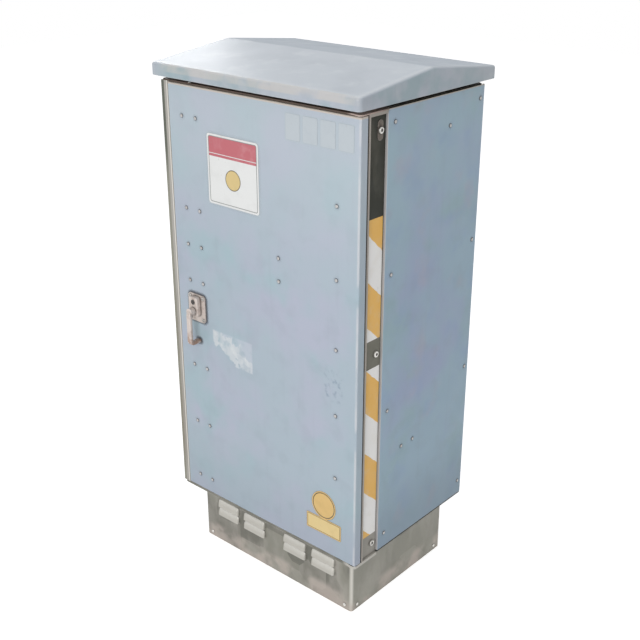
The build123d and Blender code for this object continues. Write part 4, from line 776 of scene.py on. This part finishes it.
def rusty_primer(name, main):
    """Brown primed steel in the shadow gap, streaked with rust, bleached along the sides."""
    material, tree, shader, place = start_finish(name, Specular_IOR_Level=PRIMER_SHEEN)
    layers = [
        ("#8d6a57", 1.0, patches(tree, place, GRIME, HALF_SHARES)),
        ("#bba796", 0.85, flanks(tree, place, curb_high[0] - RIM_DEPTH)),
        ("#463a34", 0.50, patches(tree, place, RAGGED, SOME_SHARES, 1)),
    ]
    gloss = patches(tree, place, RUB, HALF_SHARES, 2)
    scale = patches(tree, place, SPECK, HALF_SHARES, 3)
    colour = coats(tree, main, layers)
    dress(tree, shader, colour, gloss, RUST_ROUGH_SHARES, scale, PEEL_DEPTH)
    return material


door_tones = ("#aab8c3", "#b0b6c6", "#a4b9c2")
# The side panels' tones are bluer than the door's: the same paint, with the blue of shade painted in
side_tones = ("#9db5c5", "#9fadc7", "#98b2bc")
roof_tones = ("#afb6bd", "#b1b8c2", "#a3b3b9")
plinth_tones = ("#8a897f", "#6b6a62", "#aca8a0")
# The base plate's tones are the plinth's zinc painted darker, a painted shade for the plate under the
# cabinet
shaded_base_tones = ("#77766d", "#6a6961", "#8d8b82")
sheet_tones = ("#a3a49f", "#92948f", "#bcbdb8")
# How each finish is made, and from which tones, roughness and wear
finish_makers = {
    "door_coat": (weathered_coat, door_tones, DOOR_ROUGH_SHARES, DOOR_GRIME, door_marks, door_edges),
    "side_coat": (weathered_coat, side_tones, SIDE_ROUGH_SHARES, SIDE_GRIME, panel_marks, panel_edges),
    "roof_coat": (
        weathered_coat, roof_tones, ROOF_ROUGH_SHARES, ROOF_GRIME, roof_marks, no_marks, roof_matt,
    ),
    "plinth_zinc": (galvanised, plinth_tones, PLINTH_CONTRAST, skirt_marks),
    "base_zinc": (galvanised, shaded_base_tones, BASE_CONTRAST, base_marks),
    "sheet_zinc": (galvanised, sheet_tones, SHEET_CONTRAST, no_marks),
    "post_primer": (primed_steel, "#a5a29b", recess_rims),
    "stile_primer": (primed_steel, "#a5a29b", stile_bands),
    "head_primer": (primed_steel, "#6c635b", ear_marks),
    "curb_rust": (rusty_primer, "#6b5d54"),
    "bolt_zinc": (worn_metal, "#dedcd7", "#b5b2ac", BOLT_ROUGH_SHARES, BOLT_METAL_SHARE),
    "plate_dark": (worn_metal, "#6d655c", "#564c44", PLATE_ROUGH_SHARES, PLATE_METAL_SHARE),
    "rivet_steel": (
        worn_metal, "#bfbdbb", "#9c9692", RIVET_ROUGH_SHARES, RIVET_METAL_SHARE, no_marks, HEAD_SHARES,
    ),
    "lock_cast": (
        worn_metal, "#cfc4bd", "#b5a69d", CAST_ROUGH_SHARES, CAST_METAL_SHARE, handle_marks,
    ),
    "barrel_dark": (worn_metal, "#4a4644", "#3a3634", BARREL_ROUGH_SHARES, BARREL_METAL_SHARE),
    "earth_brass": (worn_metal, "#c79f54", "#a98345", BRASS_ROUGH_SHARES, BRASS_METAL_SHARE),
    "striped_film": (film, "#f7f6f4", "#e2dccf", TAPE_ROUGH_SHARES, stripe_marks, TAPE_WEAR_AND_SHADE),
    "sign_white": (film, "#e4e5e4", "#d9dad9", SIGN_ROUGH_SHARES),
    "sign_red": (film, "#bf6b73", "#d0999e", PRINT_ROUGH_SHARES),
    "sign_grey": (film, "#8a8d8c", "#a9abaa", PRINT_ROUGH_SHARES),
    "sign_ochre": (film, "#d9c28a", "#cbb67f", PRINT_ROUGH_SHARES),
    "print_dark": (film, "#5a5140", "#7a6f58", TILE_ROUGH_SHARES),
    "tile_film": (film, "#bcc4ca", "#b1bac2", TILE_ROUGH_SHARES),
    "label_ochre": (film, "#dcb978", "#c9a86a", LABEL_ROUGH_SHARES),
    "strip_pale": (film, "#e0c88f", "#cdb37a", LABEL_ROUGH_SHARES),
    "seal_rubber": (rubber, "#1d1d1d"),
    "nylon": (moulded, "#d6d2c4", "#c8c4b6", NYLON_ROUGH_SHARES),
    "grey_moulding": (moulded, "#8f9498", "#84898d", NYLON_ROUGH_SHARES),
    "white_moulding": (moulded, "#d5d6d2", "#c9cac5", MOULD_ROUGH_SHARES),
    "black_moulding": (moulded, "#202123", "#2b2c2e", MOULD_ROUGH_SHARES),
    "red_moulding": (moulded, "#a5231c", "#96201b", KNOB_ROUGH_SHARES),
    "green_moulding": (moulded, "#4d8a4e", "#437a45", PANE_ROUGH_SHARES),
}
finishes = {name: maker(name, *values) for name, (maker, *values) in finish_makers.items()}

# Which finish each node of the frame wears
node_finishes = {
    "door_coat": ("door_panel",),
    "side_coat": ("side_panel_left", "side_panel_right", "rear_panel"),
    "roof_coat": ("roof_cap",),
    "plinth_zinc": ("plinth_skirt", "plinth_rear", "plinth_corners"),
    "base_zinc": ("base_plate",),
    "sheet_zinc": (
        "gland_plate", "mounting_plate", "door_stiffener_upper", "door_stiffener_lower",
        "door_stiffener_hinge", "document_pocket",
    ),
    "post_primer": (
        "post_front_right", "post_rear_left", "post_rear_right", "sill_rail", "header_rail",
    ),
    "stile_primer": ("post_front_left",),
    "head_primer": ("head_plate",),
    "curb_rust": ("roof_curb",),
    "bolt_zinc": (
        "plinth_screws", "frame_bolts", "post_bolts", "pivot_pins", "mounting_studs",
        "mounting_rails", "inner_screws", "lock_screws", "handle_spindle", "rod_driver",
        "latch_tongue", "spindle_nut", "upper_rod", "lower_rod",
    ),
    "plate_dark": ("slot_plates",),
    "rivet_steel": ("panel_rivets", "door_rivets"),
    "lock_cast": ("lock_plate", "door_handle"),
    "barrel_dark": ("lock_barrel",),
    "striped_film": ("striped_tape",),
    "sign_white": ("sign_plate",),
    "tile_film": ("number_tiles",),
    "label_ochre": ("door_label",),
    "seal_rubber": ("door_seal",),
    "nylon": ("pivot_bushes", "rod_guides"),
    "grey_moulding": ("wiring_ducts", "switch_body", "terminal_blocks"),
    "white_moulding": ("surge_arresters", "fuse_holders"),
    "black_moulding": ("cable_glands",),
    "red_moulding": ("switch_knob", "earth_insulators"),
    "earth_brass": ("earth_bar",),
}
for finish, names in node_finishes.items():
    for name in names:
        nodes[name].data.materials.clear()
        nodes[name].data.materials.append(finishes[finish])


def place_piece(name, mesh, places, finish, body):
    """Copy a shape made at the origin to each place, as one piece that rides on a body."""
    points, edges, faces = mesh.verts[:], mesh.edges[:], mesh.faces[:]
    for place in places:
        copy = bmesh.ops.duplicate(mesh, geom=points + edges + faces)["geom"]
        moved = [part for part in copy if isinstance(part, bmesh.types.BMVert)]
        bmesh.ops.translate(mesh, verts=moved, vec=place)
    bmesh.ops.delete(mesh, geom=points, context="VERTS")
    bmesh.ops.remove_doubles(mesh, verts=mesh.verts, dist=MM * MM)
    bmesh.ops.recalc_face_normals(mesh, faces=mesh.faces)
    data = bpy.data.meshes.new(name)
    mesh.to_mesh(data)
    mesh.free()
    data.materials.append(finishes[finish])
    piece = bpy.data.objects.new(name, data)
    scene.collection.objects.link(piece)
    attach(piece, body)
    return piece


def flat_plate(mesh, width, height, corner, rise=0.0):
    """A flat plate with rounded corners that faces the front, its middle at a rise."""
    size = Matrix.Diagonal((width, height, 1.0, 1.0))
    shape = Matrix.Translation((0.0, 0.0, rise)) @ FACING_FRONT @ size
    points = bmesh.ops.create_grid(
        mesh, x_segments=1, y_segments=1, size=UNIT_HALF, matrix=shape
    )["verts"]
    rounded = bmesh.ops.bevel(
        mesh, geom=points, offset=corner, affect="VERTICES", segments=ARC_STEPS, profile=0.5, material=-1
    )
    return rounded["verts"][0].link_faces[0]


def flat_disc(mesh, radius, rise=0.0):
    """A flat disc that faces the front, its middle at a rise."""
    shape = Matrix.Translation((0.0, 0.0, rise)) @ FACING_FRONT
    points = bmesh.ops.create_circle(
        mesh, cap_ends=True, segments=DISC_STEPS, radius=radius, matrix=shape
    )["verts"]
    return points[0].link_faces[0]


def keep_rim(mesh, plate, line):
    """Cut away all of a flat plate but its rim."""
    bmesh.ops.inset_individual(mesh, faces=[plate], thickness=line, use_even_offset=True)
    bmesh.ops.delete(mesh, geom=[plate], context="FACES_ONLY")


def cut_across(mesh, along, offset, **clear):
    """Cut every flat plate of a mesh by a plane at an offset along a direction."""
    parts = mesh.verts[:] + mesh.edges[:] + mesh.faces[:]
    place = Vector(along) * offset
    bmesh.ops.bisect_plane(mesh, geom=parts, plane_co=place, plane_no=along, **clear)


def thicken(mesh, rise):
    """Give the flat plates of a mesh their thickness towards the front, and return their front edges."""
    grown = bmesh.ops.extrude_face_region(mesh, geom=mesh.faces[:], use_keep_orig=True)["geom"]
    points = {part for part in grown if isinstance(part, bmesh.types.BMVert)}
    bmesh.ops.translate(mesh, verts=list(points), vec=(0.0, -rise, 0.0))
    bmesh.ops.recalc_face_normals(mesh, faces=mesh.faces)
    front = [edge for edge in mesh.edges if points.issuperset(edge.verts)]
    return [edge for edge in front if edge.calc_face_angle() > SHARP_ANGLE]


def round_edges(mesh, edges, radius):
    """Round edges off."""
    bmesh.ops.bevel(
        mesh, geom=edges, offset=radius, affect="EDGES", segments=EDGE_STEPS, profile=0.5, material=-1
    )


def driven_head(radius, height, slot, cuts):
    """A round screw head whose lands stand clear of one slot, or of two that cross."""
    mesh = bmesh.new()
    flat_disc(mesh, radius * HEAD_CROWN_SHARE)
    for along in cuts:
        for side in (-1, 1):
            cut_across(mesh, along, side * slot / 2)
    middles = {face: face.calc_center_median() for face in mesh.faces}
    gaps = [
        face
        for face, middle in middles.items()
        if min(abs(middle.dot(Vector(along))) for along in cuts) < slot / 2
    ]
    bmesh.ops.delete(mesh, geom=gaps, context="FACES")
    round_edges(mesh, thicken(mesh, height), slot * LAND_EDGE_SHARE)
    foot = bmesh.new()
    flat_disc(foot, radius)
    round_edges(foot, thicken(foot, height * HEAD_FLOOR_SHARE), slot * LAND_EDGE_SHARE)
    joined = bpy.data.meshes.new("head")
    foot.to_mesh(joined)
    foot.free()
    mesh.from_mesh(joined)
    return mesh


def soft_block(mesh, low, high, edge):
    """A block between two corners, with its edges rounded."""
    size = Vector(high) - Vector(low)
    shape = Matrix.Translation(Vector(low) + size / 2) @ Matrix.Diagonal((*size, 1.0))
    points = bmesh.ops.create_cube(mesh, size=1.0, matrix=shape)["verts"]
    round_edges(mesh, list({side for point in points for side in point.link_edges}), edge)


# Sign: a ruled border, a blank band across its head and a plain disc
sign_low, sign_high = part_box("sign_plate")
sign_face = sign_low[1]
sign_x = (sign_low[0] + sign_high[0]) / 2
sign_z = (sign_low[2] + sign_high[2]) / 2
field_width = sign_high[0] - sign_low[0] - 2 * SIGN_MARGIN
field_height = sign_high[2] - sign_low[2] - 2 * SIGN_MARGIN
border = bmesh.new()
keep_rim(border, flat_plate(border, field_width, field_height, SIGN_CORNER), SIGN_LINE)
thicken(border, PRINT_HEIGHT)
place_piece("sign_border", border, [(sign_x, sign_face, sign_z)], "sign_grey", "door")

inner_width = field_width - 2 * SIGN_LINE
inner_height = field_height - 2 * SIGN_LINE
band_foot = inner_height / 2 - field_height * BAND_HEIGHT_SHARE
rule_low, rule_high = band_foot + BAND_FOOT, band_foot + BAND_FOOT + BAND_RULE
band = bmesh.new()
flat_plate(band, inner_width, inner_height, SIGN_CORNER - SIGN_LINE)
cut_across(band, (0.0, 0.0, 1.0), band_foot, clear_inner=True)
for edge in (rule_low, rule_high):
    cut_across(band, (0.0, 0.0, 1.0), edge)
rule = [face for face in band.faces if rule_low < face.calc_center_median().z < rule_high]
bmesh.ops.delete(band, geom=rule, context="FACES")
thicken(band, PRINT_HEIGHT)
place_piece("sign_band", band, [(sign_x, sign_face, sign_z)], "sign_red", "door")

disc_z = sign_low[2] + SIGN_DISC_RISE_SHARE * (sign_high[2] - sign_low[2])
disc = bmesh.new()
flat_disc(disc, SIGN_DISC - DISC_LINE)
thicken(disc, PRINT_HEIGHT)
place_piece("sign_disc", disc, [(sign_x, sign_face, disc_z)], "sign_ochre", "door")
ring = bmesh.new()
keep_rim(ring, flat_disc(ring, SIGN_DISC), DISC_LINE)
thicken(ring, PRINT_HEIGHT)
place_piece("sign_disc_ring", ring, [(sign_x, sign_face, disc_z)], "print_dark", "door")

# Lower label: a ringed disc above a bordered blank strip
label_low, label_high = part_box("door_label")
label_face = label_low[1]
label_x = (label_low[0] + label_high[0]) / 2
strip_z = label_low[2] + STRIP_HEIGHT / 2
strip_width = label_high[0] - label_low[0] - 2 * LABEL_MARGIN
strip_height = STRIP_HEIGHT - 2 * LABEL_MARGIN
label_radius = (label_high[2] - label_low[2] - STRIP_HEIGHT) / 2
disc_rise = label_high[2] - label_radius - strip_z
lines = bmesh.new()
keep_rim(lines, flat_disc(lines, label_radius - LABEL_MARGIN, disc_rise), LABEL_LINE)
keep_rim(lines, flat_plate(lines, strip_width, strip_height, LABEL_CORNER), STRIP_LINE)
thicken(lines, PRINT_HEIGHT)
place_piece("label_lines", lines, [(label_x, label_face, strip_z)], "print_dark", "door")
pale = bmesh.new()
flat_plate(
    pale, strip_width - 2 * STRIP_LINE, strip_height - 2 * STRIP_LINE, LABEL_CORNER - STRIP_LINE
)
thicken(pale, PRINT_HEIGHT)
place_piece("label_field", pale, [(label_x, label_face, strip_z)], "strip_pale", "door")

# Lock screws with a cross recess
screw_low, screw_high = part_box("lock_screws")
lock_head = driven_head(LOCK_HEAD, screw_high[1] - screw_low[1], LOCK_SLOT, CROSS_CUTS)
lock_places = [
    (x, screw_high[1], z)
    for x in (screw_low[0] + LOCK_HEAD, screw_high[0] - LOCK_HEAD)
    for z in (screw_low[2] + LOCK_HEAD, screw_high[2] - LOCK_HEAD)
]
lock_heads = place_piece("lock_screw_heads", lock_head, lock_places, "bolt_zinc", "door")
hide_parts("lock_screws")

# Door seal: one rubber strip with a rounded crown round the whole opening
seal_low, seal_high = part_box("door_seal")
seal_place = ((seal_low[0] + seal_high[0]) / 2, seal_high[1], (seal_low[2] + seal_high[2]) / 2)
seal_crown = seal_high[1] - seal_low[1]
seal = bmesh.new()
seal_outline = flat_plate(
    seal, seal_high[0] - seal_low[0], seal_high[2] - seal_low[2], SEAL_CORNER
)
keep_rim(seal, seal_outline, SEAL_WIDTH)
round_edges(seal, thicken(seal, seal_crown), seal_crown * SEAL_ROUND_SHARE)
seal_piece = place_piece("door_seal_strip", seal, [seal_place], "seal_rubber", "cabinet")
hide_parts("door_seal")

# Floor seal: rubber strips that close the slots between the base plate and the panels' feet
base_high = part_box("base_plate")[1]
pad_low, pad_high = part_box("post_rear_right")
rear_low, rear_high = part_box("rear_panel")
floor_seal = bmesh.new()
for side in (-1, 1):
    edges = sorted((side * rear_high[0], side * (pad_high[0] - FLOOR_SEAL_REST)))
    soft_block(
        floor_seal,
        (edges[0], panel_low[1] + FLOOR_SEAL_REST, base_high[2] - FLOOR_SEAL_DROP),
        (edges[1], base_high[1], panel_low[2] - FLOOR_SEAL_REST),
        FLOOR_SEAL_EDGE,
    )
soft_block(
    floor_seal,
    (-pad_low[0], base_high[1] - FLOOR_SEAL_LAP, base_high[2]),
    (pad_low[0], pad_high[1] - FLOOR_SEAL_REST, rear_low[2] + FLOOR_SEAL_RISE),
    FLOOR_SEAL_EDGE,
)
place_piece("floor_seal", floor_seal, [(0.0, 0.0, 0.0)], "seal_rubber", "cabinet")


def module_places(node, count, width, depth=0.0):
    """The middles of a row of like modules on their fronts, or at a depth behind them."""
    low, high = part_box(node)
    pitch = (high[0] - low[0] - width) / (count - 1)
    middle = (low[2] + high[2]) / 2
    return [(low[0] + width / 2 + step * pitch, low[1] + depth, middle) for step in range(count)]


# Terminals: two slotted screws and a marker each
clamp_screw = driven_head(TERMINAL_HEAD, TERMINAL_HEAD_RISE, TERMINAL_SLOT, SLOT_CUTS)
clamp_places = [
    (x, y, z + side * TERMINAL_SCREW)
    for x, y, z in module_places("terminal_blocks", TERMINAL_COUNT, TERMINAL_WIDTH, TERMINAL_STEP)
    for side in (-1, 1)
]
place_piece("terminal_screws", clamp_screw, clamp_places, "bolt_zinc", "cabinet")
marker = bmesh.new()
flat_plate(marker, MARKER_WIDTH, MARKER_HEIGHT, MOULD_EDGE)
thicken(marker, MARKER_RISE)
marker_places = module_places("terminal_blocks", TERMINAL_COUNT, TERMINAL_WIDTH)
place_piece(
    "terminal_markers", marker, marker_places, "white_moulding", "cabinet"
)

# Fuse holders: a pull-out lever each
lever = bmesh.new()
soft_block(
    lever,
    (-LEVER_WIDTH / 2, -LEVER_RISE, -LEVER_HEIGHT / 2),
    (LEVER_WIDTH / 2, 0.0, LEVER_HEIGHT / 2),
    MOULD_EDGE,
)
lever_places = module_places("fuse_holders", FUSE_COUNT, MODULE_WIDTH)
place_piece("fuse_levers", lever, lever_places, "black_moulding", "cabinet")

# Surge arresters: a cartridge each, with a small green window
cartridge = bmesh.new()
soft_block(
    cartridge,
    (-CARTRIDGE_WIDTH / 2, -CARTRIDGE_RISE, -CARTRIDGE_HEIGHT / 2),
    (CARTRIDGE_WIDTH / 2, 0.0, CARTRIDGE_HEIGHT / 2),
    MOULD_EDGE,
)
arresters = module_places("surge_arresters", ARRESTER_COUNT, MODULE_WIDTH)
place_piece(
    "arrester_cartridges", cartridge, arresters, "grey_moulding", "cabinet"
)
pane = bmesh.new()
flat_plate(pane, WINDOW_WIDTH, WINDOW_HEIGHT, MOULD_EDGE, -WINDOW_DROP)
thicken(pane, PRINT_HEIGHT)
panes = module_places("surge_arresters", ARRESTER_COUNT, MODULE_WIDTH, -CARTRIDGE_RISE)
place_piece("arrester_windows", pane, panes, "green_moulding", "cabinet")

# Main switch: ticks at the two ends of its turn, and a line on the grip of its knob
knob_low, knob_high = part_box("switch_knob")
switch_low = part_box("switch_body")[0]
switch_x = (knob_low[0] + knob_high[0]) / 2
switch_z = (knob_low[2] + knob_high[2]) / 2
ticks = bmesh.new()
for turn in range(TICK_TURNS):
    tick = flat_plate(ticks, TICK_WIDTH, TICK_LENGTH, TICK_CORNER, TICK_RADIUS)
    swing = Matrix.Rotation(QUARTER_TURN * turn, 3, "Y")
    bmesh.ops.rotate(ticks, verts=tick.verts[:], cent=(0.0, 0.0, 0.0), matrix=swing)
thicken(ticks, PRINT_HEIGHT)
switch_place = (switch_x, switch_low[1] + SWITCH_RING, switch_z)
place_piece("switch_ticks", ticks, [switch_place], "white_moulding", "cabinet")
grip_line = bmesh.new()
flat_plate(grip_line, TICK_WIDTH, KNOB_LINE_LENGTH, TICK_CORNER)
thicken(grip_line, PRINT_HEIGHT)
grip_place = (switch_x, knob_low[1], knob_high[2] - KNOB_LINE_INSET - KNOB_LINE_LENGTH / 2)
place_piece(
    "knob_line", grip_line, [grip_place], "white_moulding", "switch_knob_body"
)

# Camera, floor and studio light
camera = bpy.data.objects.new("camera", bpy.data.cameras.new("camera"))
scene.collection.objects.link(camera)
camera.data.sensor_width = SENSOR_WIDTH
camera.data.lens = LENS_LENGTH
camera.location = CAMERA_PLACE
camera.rotation_mode = "QUATERNION"
camera.rotation_quaternion = Vector(CAMERA_AIM).to_track_quat("-Z", "Y")
scene.camera = camera


def straight_rays(tree):
    """1 for rays that see the background straight, mirrored or through glass, 0 for its light."""
    path = add(tree, "LightPath").outputs
    mirrored = {0: path["Is Camera Ray"], 1: path["Is Glossy Ray"]}
    through = add(tree, "Math", mirrored, operation="MAXIMUM").outputs[0]
    rays = {0: through, 1: path["Is Transmission Ray"]}
    return add(tree, "Math", rays, operation="MAXIMUM").outputs[0]


floor_mesh = bmesh.new()
bmesh.ops.create_grid(floor_mesh, x_segments=1, y_segments=1, size=FLOOR_HALF)
floor_data = bpy.data.meshes.new("floor")
floor_mesh.to_mesh(floor_data)
floor_mesh.free()
floor = bpy.data.objects.new("floor", floor_data)
scene.collection.objects.link(floor)
floor_finish, floor_tree, floor_shader, _ = start_finish("floor_white", Roughness=FLOOR_ROUGH)
floor_shader.inputs["Base Color"].default_value = hex_linear("#ededed")
floor_shader.inputs["Emission Color"].default_value = hex_linear("#ffffff")
glow = add(floor_tree, "Math", {0: straight_rays(floor_tree), 1: FLOOR_GLOW}, operation="MULTIPLY")
floor_tree.links.new(glow.outputs[0], floor_shader.inputs["Emission Strength"])
floor_data.materials.append(floor_finish)

world = bpy.data.worlds.new("studio")
scene.world = world
world.use_nodes = True
sky_tree = world.node_tree
sky = sky_tree.nodes["Background"]
brightness = {"Value": straight_rays(sky_tree), "To Min": SKY_FILL, "To Max": 1.0}
strength = add(sky_tree, "MapRange", brightness)
sky_tree.links.new(strength.outputs[0], sky.inputs["Strength"])
sky.inputs["Color"].default_value = hex_linear("#ffffff")

softboxes = {
    "key": (KEY_PLACE, KEY_AIM, KEY_SIZE, KEY_POWER),
    "top": (TOP_PLACE, TOP_AIM, TOP_SIZE, TOP_POWER),
    "rim": (RIM_PLACE, RIM_AIM, RIM_SIZE, RIM_POWER),
}
for name, (place, aim, size, power) in softboxes.items():
    lamp = bpy.data.lights.new(name, "AREA")
    lamp.size = size
    lamp.energy = power
    holder = bpy.data.objects.new(name, lamp)
    scene.collection.objects.link(holder)
    holder.location = place
    holder.rotation_mode = "QUATERNION"
    holder.rotation_quaternion = (Vector(aim) - Vector(place)).to_track_quat("-Z", "Y")

scene.view_settings.view_transform = "Standard"
